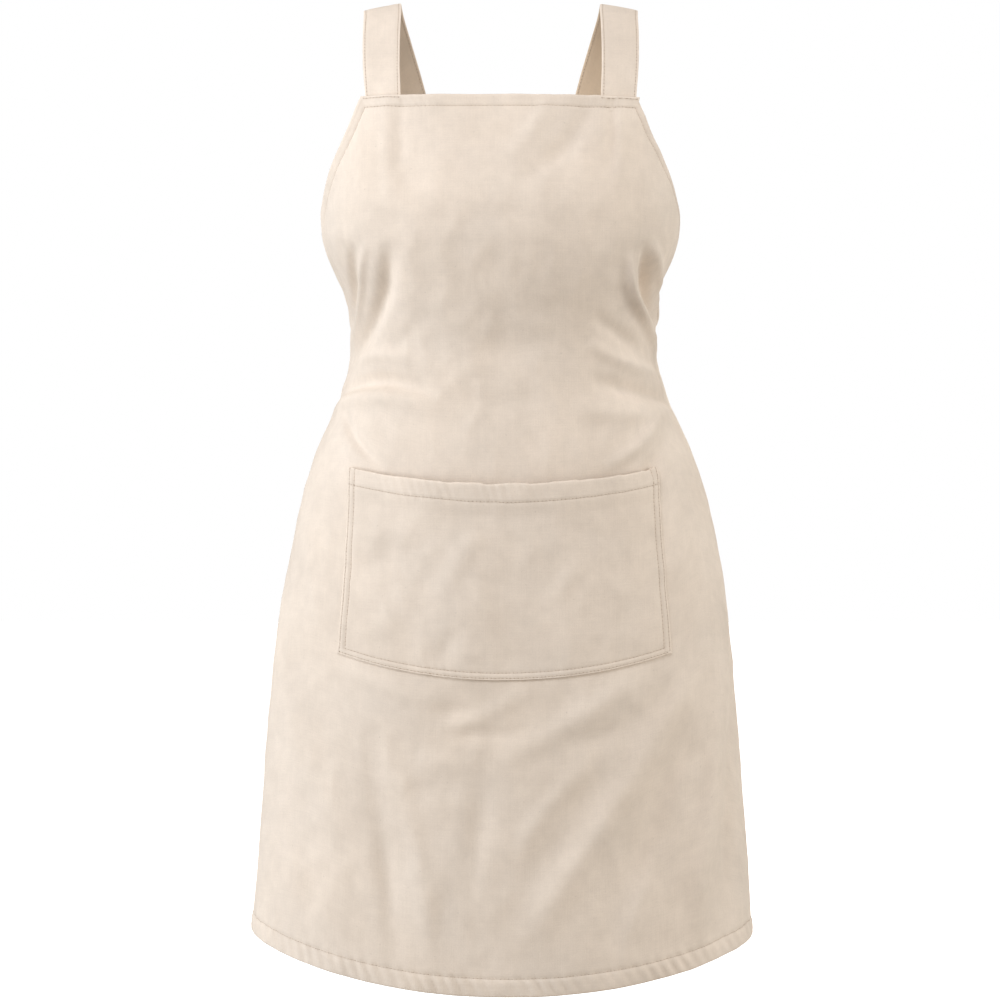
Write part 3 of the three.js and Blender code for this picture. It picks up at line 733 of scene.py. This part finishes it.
def canvas_material():
    """Natural cotton canvas: plain weave, slubs and mottled colour; paler worn edges, brighter
    still as a painted highlight; painted shade along the seams and on the wearer's side.
    """
    material, tree, shader = new_material("natural_canvas", {
        "Specular IOR Level": 0.15,
        "Sheen Weight": 0.12,
        "Sheen Roughness": 0.6,
        "Sheen Tint": (1, 0.95, 0.88, 1),
    })
    flat = add_node(tree, "UVMap", "UV", {}, uv_map="flat")

    def painted(shade_name):
        return add_node(tree, "Attribute", "Fac", {}, attribute_name=shade_name)

    def maths(operation, *values):
        return add_node(tree, "Math", 0, dict(enumerate(values)), operation=operation)

    def speckle(x, y, detail, rough=0.5):
        """Noise with so many waves to the metre across and down the cloth."""
        place = add_node(tree, "Mapping", "Vector", {"Vector": flat, "Scale": (x, y, 1)})
        inputs = {"Vector": place, "Scale": 1, "Detail": detail, "Roughness": rough}
        return add_node(tree, "TexNoise", "Fac", inputs)

    def ramp(value, low, high, dark, light):
        inputs = {"Value": value, "From Min": low, "From Max": high, "To Min": dark}
        return add_node(tree, "MapRange", "Result", {**inputs, "To Max": light})

    threads = math.pi / (THREAD_PITCH * MM)
    across, down = (add_node(tree, "SeparateXYZ", axis, {"Vector": flat}) for axis in "XY")
    warp = maths("SINE", maths("MULTIPLY", across, threads))
    weft = maths("SINE", maths("MULTIPLY", down, threads))
    weave = maths("MULTIPLY", warp, weft)
    slubs = maths("ADD", speckle(28, 900, 1), speckle(900, 22, 1))
    blotch = speckle(90, 75, 3, 0.6)
    tones = (
        (speckle(16, 13, 3, 0.55), 0.3, 0.7, 0.94, 1.045),
        (blotch, 0.3, 0.7, 0.965, 1.03),
        (slubs, 0.7, 1.3, 0.98, 1.02),
        (weave, -1, 1, 0.985, 1.015),
        (speckle(700, 640, 2, 0.6), 0.25, 0.75, 0.97, 1.03),
        (speckle(330, 300, 1), 0.72, 0.84, 1, 0.86),
        # Edges paler from wear and brighter still as a painted highlight
        (painted("worn"), 0, 1, 1, 1.1),
        # Painted shade: colour darkened along the seams' grooves and the stitch rows.
        (painted("seam"), 0, 1, 1, 0.945),
    )
    shade = ramp(*tones[0])
    for tone in tones[1:]:
        shade = maths("MULTIPLY", shade, ramp(*tone))
    tint = mixed(tree, ramp(speckle(9, 8, 2), 0.35, 0.65, 0, 1), CANVAS_WARM, CANVAS_PALE)
    # Painted shade: the darker inner colour on the wearer's side of the cloth.
    tint = mixed(tree, painted("inner"), tint, CANVAS_INNER_SHADE)
    shaded = {0: tint, "Scale": shade}
    connect(tree, shader, {
        "Base Color": add_node(tree, "VectorMath", "Vector", shaded, operation="SCALE"),
        "Roughness": ramp(slubs, 0.7, 1.3, 0.84, 0.96),
    })
    height = maths("ADD", maths("MULTIPLY", weave, 0.35), maths("MULTIPLY", slubs, 1.1))
    height = maths("ADD", height, maths("MULTIPLY", blotch, 1.2))
    add_bump(tree, shader, height, 0.55, 0.12)
    return material


def thread_material():
    """Pale cotton thread with a twist."""
    material, tree, shader = new_material(
        "cotton_thread", {"Roughness": 0.7, "Specular IOR Level": 0.3}
    )
    flat = add_node(tree, "UVMap", "UV", {}, uv_map="flat")
    inputs = {"Vector": flat, "Scale": 900, "Distortion": 1}
    twist = add_node(tree, "TexWave", "Fac", inputs, bands_direction="DIAGONAL")
    connect(tree, shader, {"Base Color": mixed(tree, twist, THREAD_DARK, THREAD_PALE)})
    add_bump(tree, shader, twist, 0.5, 0.05)
    return material


canvas = canvas_material()
thread = thread_material()
# A dark material for the painted shadow in the needle holes
needle_hole_shadow = new_material(
    "needle_hole_shadow", {"Base Color": HOLE_SHADOW_COLOUR, "Roughness": 0.95, "Specular IOR Level": 0.1}
)[0]

# Apron body
angle, drop, side_count = body_grid()
middle = angle.shape[1] // 2
body_face = cloth_point(angle, drop)
body_normals = grid_normals(body_face)
upper_rows = len(UPPER_HEM_ROWS)
bottom_row = len(angle) - len(BOTTOM_HEM_ROWS) - 1


def hem_profile(away, width, puff, fall_back=0.0):
    """Lift of a hem band that far from its folded edge: rolled at the edge, sunk at the seam."""
    band = puff * smooth_step((width - away) / 1.5)
    roll = -0.9 * (1 - smooth_step(away / 1.6))
    back = -fall_back * (1 - smooth_step(away / width)) ** 2
    return band + roll + back - 0.7 * seam_line(away - width)


def seam_line(away):
    return np.exp(-((away / 1.0) ** 2))


def ripples(run, across, period, seed, points):
    """Puckers along a seam, slanting, of uneven width and strength."""
    wobble = noise_over(run[-1][:, None] * np.array([1, 0, 0]), 26, seed)
    steps = np.diff(run[-1], prepend=run[-1][:1]) / (period * (1 + 0.25 * wobble))
    phase = np.cumsum(steps)
    uneven = np.clip(0.75 + 0.7 * noise_over(points, 30, seed + 1), 0.1, 1.3)
    return np.cos(2 * np.pi * (phase + across / 22)) * uneven


def body_relief():
    """Lifts of the hem bands, of the strap ends in the bib, and of the bottom hem's puckers."""
    run, fall = flat_lengths(body_face, middle)
    on_bib = np.abs(angle[0]) <= BIB_CORNER + 1e-9
    upper_width = np.where(on_bib, BIB_HEM, ARMHOLE_HEM)
    back = np.where(on_bib, -2, np.where(angle[0] < 0, -2.2, 2))
    edge_away = fall - fall[:1]
    share = np.clip(edge_away / np.maximum(edge_away[upper_rows - 1], 1e-6), 0, 4)
    away = share * upper_width
    lift = hem_profile(away, upper_width, 0.5, back)
    seam = seam_line(away - upper_width)
    from_bottom = fall[-1:] - fall
    lift += hem_profile(from_bottom, SKIRT_HEM, 0.7)
    seam += seam_line(from_bottom - SKIRT_HEM)
    sides = np.minimum(run - run[:, :1], run[:, -1:] - run)
    lift += hem_profile(sides, BACK_HEM, 0.4)
    seam += seam_line(sides - BACK_HEM)
    strap_middle = BIB_HALF_WIDTH - STRAP_WIDTH / 2
    off = np.abs(np.abs(body_face[..., 0]) - strap_middle) - STRAP_WIDTH / 2
    band = smooth_step((BIB_DROP + BIB_HEM + 1 - drop) / 1.5) * smooth_step(edge_away / 1.5)
    over_strap = smooth_step(0.5 - off / 2.5) * band
    lift += 0.6 * over_strap
    # Painted shade along the stitch row across each strap's end
    seam += 0.8 * over_strap * np.exp(-(((drop - BIB_DROP - STRAP_END_SEAM) / 0.8) ** 2))
    strength = 0.6 + 0.4 * np.exp(-((run[-1:] / 180) ** 2))
    reach = smooth_step(from_bottom / 3) * smooth_step((SKIRT_HEM + 8 - from_bottom) / 12)
    lift += 1.15 * ripples(run, from_bottom, 12.5, 5, body_face) * reach * strength
    upper_reach = smooth_step(edge_away / 2) * smooth_step((BIB_HEM + 7 - edge_away) / 9)
    lift += 0.3 * ripples(run, from_bottom, 9, 25, body_face) * upper_reach * on_bib
    # Nearness to an edge, which pales the colour there: wear and a painted highlight
    near = np.minimum(np.minimum(from_bottom, sides), edge_away)
    return lift, np.clip(seam, 0, 1), run, fall, np.exp(-((near / 1.4) ** 2))


body_lift, body_seam_shade, body_run, body_fall, body_wear_and_highlight = body_relief()
body_face = body_face + body_normals * body_lift[..., None]
body_uv = (body_run, body_fall)
apron_body = shell(
    "canvas_body", "apron_body", body_face, CLOTH, body_uv, body_wear_and_highlight, body_seam_shade, coarse=2
)
body_normals = grid_normals(body_face)
body_sheet = (body_face, body_normals, *body_uv, body_wear_and_highlight, body_seam_shade)


def turned_hem(name, node, sheet, rows, columns, shift):
    """A turned hem behind a part of a sheet's grid. The shift moves its weave's pattern."""
    area = (slice(*rows), slice(*columns))
    face, normals, run, fall, worn, seam = (part[area] for part in sheet)
    outer = face - normals * (CLOTH + HEM_GAP_BEHIND)
    return shell(name, node, outer, TURNED_CLOTH, (run, fall + shift), worn, seam)


row_count, column_count = angle.shape
bib_first = side_count
bib_last = column_count - side_count
top = (0, upper_rows)
sides = (upper_rows, bottom_row)
hems = [
    turned_hem(name, node, body_sheet, rows, columns, 40)
    for name, node, rows, columns in (
        ("hem_bib", "bib_hem", top, (bib_first, bib_last)),
        ("hem_armhole_left", "armhole_hem_left", top, (0, bib_first)),
        ("hem_armhole_right", "armhole_hem_right", top, (bib_last, column_count)),
        ("hem_bottom", "bottom_hem", (bottom_row, row_count), (0, column_count)),
        ("hem_back_left", "back_hem_left", sides, (0, BACK_COLUMN + 1)),
        ("hem_back_right", "back_hem_right", sides, (-BACK_COLUMN - 1, None)),
    )
]


# Pocket
def pocket_rows():
    top = [0, 0.8, 2, 5, 9, 13, POCKET_HEM - 1.2, POCKET_HEM, POCKET_HEM + 1.2]
    between = np.linspace(POCKET_HEM + 3, POCKET_HEIGHT - 12, POCKET_DOWN_STEPS)
    low = POCKET_HEIGHT - np.array((8.6, *POCKET_INSETS[-2::-1]))
    return np.concatenate([top, between, low])


def pocket_columns():
    half = POCKET_TOP_HALF_WIDTH
    edge = 1 - np.array(POCKET_INSETS) / half
    between = -np.linspace(edge[-1], -edge[-1], POCKET_STEPS)[1:-1]
    return np.concatenate([-edge, between, edge[::-1]])


pocket_down = pocket_rows()
pocket_across = pocket_columns()


def pocket_places():
    across, down = np.meshgrid(pocket_across, pocket_down)
    share = down / POCKET_HEIGHT
    half = mix(POCKET_TOP_HALF_WIDTH, POCKET_BOTTOM_HALF_WIDTH, share)
    dip = mix(POCKET_TOP_DIP, POCKET_BOTTOM_DIP, share) * (1 - across * across)
    place_drop = POCKET_DROP + down + dip
    return angle_at(across * half, place_drop), place_drop, across, down, half


pocket_angle, pocket_drop, across_share, down_from_mouth, pocket_half = pocket_places()
under_pocket = cloth_point(pocket_angle, pocket_drop)
under_normals = grid_normals(under_pocket)


def pocket_stand():
    """How far the pocket's outer face stands off the cloth under it."""
    room = TURNED_CLOTH + 0.9
    hem_room = room * (1 - smooth_step((down_from_mouth - POCKET_HEM) / POCKET_HEM))
    gape = POCKET_GAPE * (1 - across_share**2) * (1 - down_from_mouth / POCKET_HEIGHT) ** 2
    from_seam = (1 - np.abs(across_share)) * pocket_half
    from_end = POCKET_HEIGHT - down_from_mouth
    inward = np.minimum(from_seam, from_end)
    slack = 0.9 * smooth_step((inward - POCKET_SECOND_SEAM) / 30)
    loose = slack * (1 + noise_over(under_pocket, 42, 8, (1, 1, 0.7)))
    # The seams' grooves; the same mask darkens the colour there as painted shade
    seams = seam_line(inward - POCKET_SEAM) + seam_line(inward - POCKET_SECOND_SEAM)
    mouth = down_from_mouth - POCKET_HEM
    seams = np.clip(seams + 0.8 * seam_line(mouth), 0, 1)
    puff = 0.35 * smooth_step((POCKET_SECOND_SEAM - inward) / 1.5)
    edge = -0.5 * (1 - smooth_step(inward / 1.0))
    mouth_band = 0.35 * smooth_step(-mouth / 1.2)
    mouth_roll = -0.8 * (1 - smooth_step(down_from_mouth / 1.5))
    run = flat_lengths(under_pocket, len(pocket_across) // 2)[0]
    sewn = 0.35 * ripples(run, from_end, 8, 31, under_pocket)
    sewn = sewn * smooth_step((POCKET_SECOND_SEAM + 9 - from_end) / 8)
    gathered = 0.45 * ripples(run, from_end, 9, 33, under_pocket)
    gathered = gathered * smooth_step((POCKET_HEM + 10 - down_from_mouth) / 12)
    stand = POCKET_GAP + CLOTH + hem_room + gape + loose
    relief = puff + edge + mouth_band + mouth_roll + sewn + gathered - 0.55 * seams
    return stand + relief, inward, seams


pocket_off, pocket_inward, pocket_seam_shade = pocket_stand()
pocket_face = under_pocket + under_normals * pocket_off[..., None]
pocket_normals = grid_normals(pocket_face)
pocket_run, pocket_fall = flat_lengths(pocket_face, len(pocket_across) // 2)
pocket_edge = np.minimum(pocket_inward, down_from_mouth)
# Paler edges: wear and a painted highlight
pocket_wear_and_highlight = np.exp(-((pocket_edge / 1.3) ** 2))
pocket_uv = (pocket_run + 7, pocket_fall + 300)
pocket = shell("canvas_pocket", "pocket", pocket_face, CLOTH, pocket_uv, pocket_wear_and_highlight, pocket_seam_shade)
pocket_sheet = (pocket_face, pocket_normals, pocket_run, pocket_fall, pocket_wear_and_highlight, pocket_seam_shade)
mouth_row = int(np.searchsorted(pocket_down, POCKET_HEM))
mouth_hem = turned_hem(
    "hem_pocket_mouth", "pocket_mouth_hem", pocket_sheet, (0, mouth_row + 1), (1, -1), 500
)


# Straps
EDGE_OFFSETS = STRAP_WIDTH / 2 - np.array(STRAP_INSETS)
OFFSETS = np.concatenate([EDGE_OFFSETS, [0.0], -EDGE_OFFSETS[::-1]])


def seated_row(place, across):
    """A row of points across the end of a strap, at a place behind the folded cloth."""
    reach = np.array([-1.0, 0, 1.0])
    row = []
    for step in unit(across) * OFFSETS[:, None]:
        angle, drop = step_on_body(*place, step)
        places = np.broadcast_arrays(angle + reach * TURN_STEP, drop + reach[:, None])
        points = cloth_point(*places)
        row.append(points[1, 1] - grid_normals(points)[1, 1] * STRAP_SEAT_DEPTH)
    return np.array(row)


def strap_rows(lift_over):
    """Rows across the left strap that its smooth run goes through."""
    corner = (-BIB_CORNER, BIB_DROP)
    bib_across = unit(run_of(*corner)[0])
    seat_angle = step_on_body(*corner, bib_across * STRAP_WIDTH / 2)[0]
    rows = []
    for seat_drop in (BIB_DROP + STRAP_TUCK, BIB_DROP):
        seat = (seat_angle, seat_drop)
        rows.append(seated_row(seat, run_of(*seat)[0]))
    for out, depth, fall, tilt, turn, over in STRAP_WAY:
        centre = np.array([
            -out * SHOULDER_SPREAD,
            depth * SHOULDER_DEPTH + over * lift_over,
            -fall * CROSSING_DROP,
        ])
        across = unit(np.array([1, math.tan(math.radians(turn)), math.tan(math.radians(tilt))]))
        rows.append(centre + OFFSETS[:, None] * across)
    wing_angle = math.pi - angle_at(WING_SEAT, WING_DROP)
    wing = (wing_angle, upper_drop(wing_angle))
    past = STRAP_WAY[-1]
    heading = body_point(*wing)
    heading = heading + np.array([past[0] * SHOULDER_SPREAD, 0, past[2] * CROSSING_DROP])
    normal = run_of(*wing)[2]
    heading = unit(heading - normal * (heading @ normal))
    wing_across = np.cross(heading, normal)
    wing_across = wing_across * np.sign(wing_across[0])
    for distance in (-STRAP_TUCK, STRAP_TUCK):
        rows.append(seated_row(step_on_body(*wing, heading * distance), wing_across))
    return np.array(rows)


def centripetal(points, shares):
    """Points along a smooth curve through points, as the CAD's straps follow it."""
    first = 2 * points[0] - points[1]
    last = 2 * points[-1] - points[-2]
    known = np.concatenate([first[None], points, last[None]])
    gaps = np.linalg.norm(np.diff(known, axis=0), axis=1) ** 0.5
    at = np.clip(shares * (len(points) - 1), 0, len(points) - 1 - 1e-9)
    i = at.astype(int)
    t = (at - i)[:, None]
    p0, p1, p2, p3 = (known[i + k] for k in range(4))
    d0, d1, d2 = (gaps[i + k][:, None] for k in range(3))
    t1 = ((p1 - p0) / d0 - (p2 - p0) / (d0 + d1) + (p2 - p1) / d1) * d1
    t2 = ((p2 - p1) / d1 - (p3 - p1) / (d1 + d2) + (p3 - p2) / d2) * d1
    bend = 3 * (p2 - p1) - 2 * t1 - t2
    rest = 2 * (p1 - p2) + t1 + t2
    return p1 + t * (t1 + t * (bend + t * rest))


def make_strap(name, node, rows, seed, inside):
    shares = np.linspace(0, 1, STRAP_STEPS + 1)
    lines = [centripetal(rows[:, column], shares) for column in range(rows.shape[1])]
    face = np.stack(lines, axis=1)
    if face[0, 0, 0] < face[0, -1, 0]:
        face = face[:, ::-1]
    normals = grid_normals(face)
    inset = STRAP_WIDTH / 2 - np.abs(OFFSETS)
    roll = -0.75 * (1 - smooth_step(inset / 1.3))
    seam = seam_line(inset - STRAP_SEAM)
    sunk = roll - 0.5 * seam
    ripple = 0.25 * noise_over(face, 14, seed) + 0.5 * noise_over(face, 60, seed + 3)
    outer = face + normals * (sunk + ripple)[..., None]
    thickness = (STRAP_CLOTH + 2 * sunk)[None]
    run, fall = flat_lengths(outer, len(OFFSETS) // 2)
    # Paler edges: wear and a painted highlight
    worn = np.broadcast_to(np.exp(-((inset / 1.2) ** 2)), run.shape)
    # Painted shade along the strap's seams
    seams = np.broadcast_to(0.4 * seam, run.shape)
    uv = (run + 60 * seed, fall)
    piece = shell(name, node, outer, thickness, uv, worn, seams, inside=inside)
    return piece, outer, grid_normals(outer), thickness


left_rows = strap_rows(0)
right_rows = strap_rows(STRAP_LIFT) * np.array([-1, 1, 1])
# Each strap's wearer's side takes its own share of the painted shade; the right strap's is darker,
# a painted shadow.
strap_left, *left_sheet = make_strap(
    "strap_canvas_left", "strap_left", left_rows, 11, LEFT_STRAP_SHADE_SHARE
)
strap_right, *right_sheet = make_strap(
    "strap_canvas_right", "strap_right", right_rows, 12, RIGHT_STRAP_SHADE_SHARE
)


# Stitching
def interpolated(at, known, values):
    return np.stack([np.interp(at, known, values[:, k]) for k in range(3)], axis=1)


def line_run(line):
    """The length along a line up to each of its points."""
    return np.concatenate([[0], np.cumsum(np.linalg.norm(np.diff(line, axis=0), axis=1))])


def line_frames(line, normals, at):
    """Places along a line, and the directions outwards and ahead there."""
    run = line_run(line)
    ahead = unit(interpolated(at + 0.5, run, line) - interpolated(at - 0.5, run, line))
    return interpolated(at, run, line), unit(interpolated(at, run, normals)), ahead


def stitch_faces():
    """The faces of one stitch: a tube through its rings, closed at both ends."""
    each = len(STITCH_RINGS) * STITCH_SIDES
    faces = []
    for a in range(0, each - STITCH_SIDES, STITCH_SIDES):
        b = a + STITCH_SIDES
        for k in range(STITCH_SIDES):
            onward = (k + 1) % STITCH_SIDES
            faces.append([a + k, a + onward, b + onward, b + k])
    faces.append(list(range(STITCH_SIDES))[::-1])
    faces.append(list(range(each - STITCH_SIDES, each)))
    return faces


STITCH_FACES = stitch_faces()


def rings(centre, first, second, sides):
    """A ring of points round each centre, with its two spokes a quarter turn apart."""
    turn = 2 * math.pi * np.arange(sides)[:, None] / sides
    spokes = first[:, None] * np.cos(turn) + second[:, None] * np.sin(turn)
    return centre[:, None] + spokes


def stitches(name, lines):
    """One piece with a row of stitches along each line with its normals, and dark discs between
    the stitches as painted shadow in the needle holes.
    """
    points = []
    faces = []
    uv = []
    shape = np.array(STITCH_RINGS)
    each = len(shape) * STITCH_SIDES
    for line, normals in lines:
        count = int((line_run(line)[-1] - STITCH_SPACE) // (STITCH + STITCH_SPACE))
        starts = STITCH_SPACE + np.arange(count) * (STITCH + STITCH_SPACE)
        tube = []
        for share, height, size in STITCH_RINGS:
            centre, normal, ahead = line_frames(line, normals, starts + share * STITCH)
            radius = THREAD_RADIUS * size
            aside = unit(np.cross(ahead, normal))
            centre = centre + normal * height
            tube.append(rings(centre, aside * radius, normal * radius, STITCH_SIDES))
        base = sum(map(len, points))
        for first in range(base, base + count * each, each):
            faces += [[first + corner for corner in face] for face in STITCH_FACES]
        points.append(np.stack(tube, axis=1).reshape(-1, 3))
        spots = np.tile(np.arange(each) % STITCH_SIDES, count) * 0.35
        length = starts[:, None] + np.repeat(shape[:, 0], STITCH_SIDES) * STITCH
        uv.append(np.stack([spots, length.ravel()], axis=1))
    thread_faces = len(faces)
    # Painted shadow: a dark disc at each needle hole between the stitches
    for line, normals in lines:
        at = np.arange(STITCH_SPACE / 2, line_run(line)[-1], STITCH + STITCH_SPACE)
        centre, normal, ahead = line_frames(line, normals, at)
        wide = HOLE_WIDE * np.cross(normal, ahead)
        rims = rings(centre + HOLE_HEIGHT * normal, HOLE_LONG * ahead, wide, HOLE_SIDES)
        faces += (sum(map(len, points)) + grid_index(len(at), HOLE_SIDES)).tolist()
        points.append(rims.reshape(-1, 3))
        uv.append(np.zeros((len(at) * HOLE_SIDES, 2)))
    piece = mesh_object(name, np.concatenate(points), faces, np.concatenate(uv), {}, thread)
    piece.data.materials.append(needle_hole_shadow)
    for polygon in piece.data.polygons[thread_faces:]:
        polygon.material_index = 1
    return piece


def line_of(sheet, row, column):
    """Points and normals along a row or column of a sheet's grid."""
    return sheet[0][row, column], sheet[1][row, column]


seam_row = upper_rows - 1
stitch_upper = stitches("stitching_upper", [line_of(body_sheet, seam_row, slice(1, -1))])
stitch_hem = stitches("stitching_hem", [line_of(body_sheet, bottom_row, slice(1, -1))])
back_columns = (BACK_COLUMN, -1 - BACK_COLUMN)
stitch_back = stitches(
    "stitching_back", [line_of(body_sheet, slice(2, -2), column) for column in back_columns]
)


def strap_box_line(side_sign, height):
    """A short row of stitches across a strap's end, on the front of the bib."""
    centre = side_sign * (BIB_HALF_WIDTH - STRAP_WIDTH / 2)
    sides = np.linspace(centre - STRAP_WIDTH / 2 + 1, centre + STRAP_WIDTH / 2 - 1, 15)
    columns = np.interp(sides, body_face[1, bib_first:bib_last, 0], np.arange(bib_first, bib_last))
    share = (height - drop[0, middle]) / (drop[seam_row, middle] - drop[0, middle])
    row = np.interp(share, UPPER_HEM_ROWS, np.arange(upper_rows))
    low = int(row)

    lines = [mix(values[low], values[low + 1], row - low) for values in body_sheet[:2]]
    return [interpolated(columns, np.arange(column_count), line) for line in lines]


stitch_ends = stitches(
    "stitching_strap_ends",
    [strap_box_line(side, BIB_DROP + STRAP_END_SEAM) for side in (-1, 1)],
)


def pocket_stitch_lines():
    lines = [line_of(pocket_sheet, mouth_row, slice(2, -2))]
    for seam in (POCKET_SEAM, POCKET_SECOND_SEAM):
        column = POCKET_INSETS.index(seam)
        low_row = int(np.argmin(np.abs(pocket_down - (POCKET_HEIGHT - seam))))
        down = slice(1, low_row + 1)
        lines.append(line_of(pocket_sheet, low_row, slice(column, -column)))
        lines.append(line_of(pocket_sheet, down, column))
        lines.append(line_of(pocket_sheet, down, -1 - column))
    return lines


stitch_pocket = stitches("stitching_pocket", pocket_stitch_lines())


def strap_stitch_lines(face, normals, thickness):
    seam = STRAP_INSETS.index(STRAP_SEAM)
    lines = []
    for column in (seam, -1 - seam):
        front, normal = line_of((face, normals), slice(None), column)
        lines.append((front, normal))
        lines.append((front - normal * thickness[:, column][:, None], -normal))
    return lines


stitch_left = stitches("stitching_strap_left", strap_stitch_lines(*left_sheet))
stitch_right = stitches("stitching_strap_right", strap_stitch_lines(*right_sheet))

# Light, background and camera
scene = bpy.context.scene
scene.view_settings.view_transform = "Standard"

WHITE = (1, 1, 1, 1)
FLOOR_REACH = 6
FLOOR_HEIGHT = -1.42
floor_mesh = bpy.data.meshes.new("floor")
floor_corners = ((-1, -1), (1, -1), (1, 1), (-1, 1))
floor_mesh.from_pydata([(*corner, 0) for corner in floor_corners], [], [(0, 1, 2, 3)])
floor = bpy.data.objects.new("floor", floor_mesh)
floor.location.z = FLOOR_HEIGHT
floor.scale = (FLOOR_REACH, FLOOR_REACH, 1)
pale = {"Base Color": (0.8, 0.8, 0.8, 1), "Emission Color": WHITE, "Emission Strength": 1}
floor_mesh.materials.append(new_material("pale_floor", pale)[0])
floor.visible_diffuse = False
floor.visible_glossy = False
scene.collection.objects.link(floor)

world = bpy.data.worlds.new("studio")
scene.world = world
world.use_nodes = True
sky = world.node_tree
ambient = sky.nodes["Background"]
connect(sky, ambient, {"Color": (1, 0.93, 0.855, 1), "Strength": 0.41})
seen = add_node(sky, "Background", "Background", {"Color": WHITE, "Strength": 1})
by_camera = add_node(sky, "LightPath", "Is Camera Ray", {})
choice = {"Fac": by_camera, 1: ambient.outputs["Background"], 2: seen}
chosen = add_node(sky, "MixShader", "Shader", choice)
connect(sky, sky.nodes["World Output"], {"Surface": chosen})


def area_light(name, place, target, size, power, colour):
    light = bpy.data.lights.new(name, "AREA")
    light.shape = "SQUARE"
    light.size = size
    light.energy = power
    light.color = colour
    lamp = bpy.data.objects.new(name, light)
    lamp.location = place
    aim = Vector(target) - Vector(place)
    lamp.rotation_euler = aim.to_track_quat("-Z", "Y").to_euler()
    scene.collection.objects.link(lamp)


CENTRE = (0, 0, -0.5)
area_light("key", (-2.95, -0.85, -0.3), CENTRE, 1.5, 55, (0.93, 0.99, 1.07))
area_light("fill", (2.9, -0.6, 0), CENTRE, 2.0, 40, (1, 1, 0.99))
area_light("top", (-0.5, -1.15, 1.05), (0, 0, -0.2), 0.9, 15, (1, 1, 1.04))
area_light("bounce", (0, -1.2, -1.1), (0, 0, -0.35), 0.8, 0.9, (1, 0.92, 0.83))
area_light("behind", (0.8, 2.4, 0.3), CENTRE, 1.6, 30, (1, 0.98, 0.95))

FOCAL_PIXELS = 2178
IMAGE_SIDE = 1000
SENSOR = 36
CAMERA_PLACE = (-0.0007, -2.2, -0.325)
CAMERA_DOWN = 4.4
camera_data = bpy.data.cameras.new("camera")
camera_data.sensor_width = SENSOR
camera_data.lens = FOCAL_PIXELS * SENSOR / IMAGE_SIDE
camera = bpy.data.objects.new("camera", camera_data)
camera.location = CAMERA_PLACE
camera.rotation_euler = (math.radians(90 - CAMERA_DOWN), 0, 0)
scene.collection.objects.link(camera)
scene.camera = camera
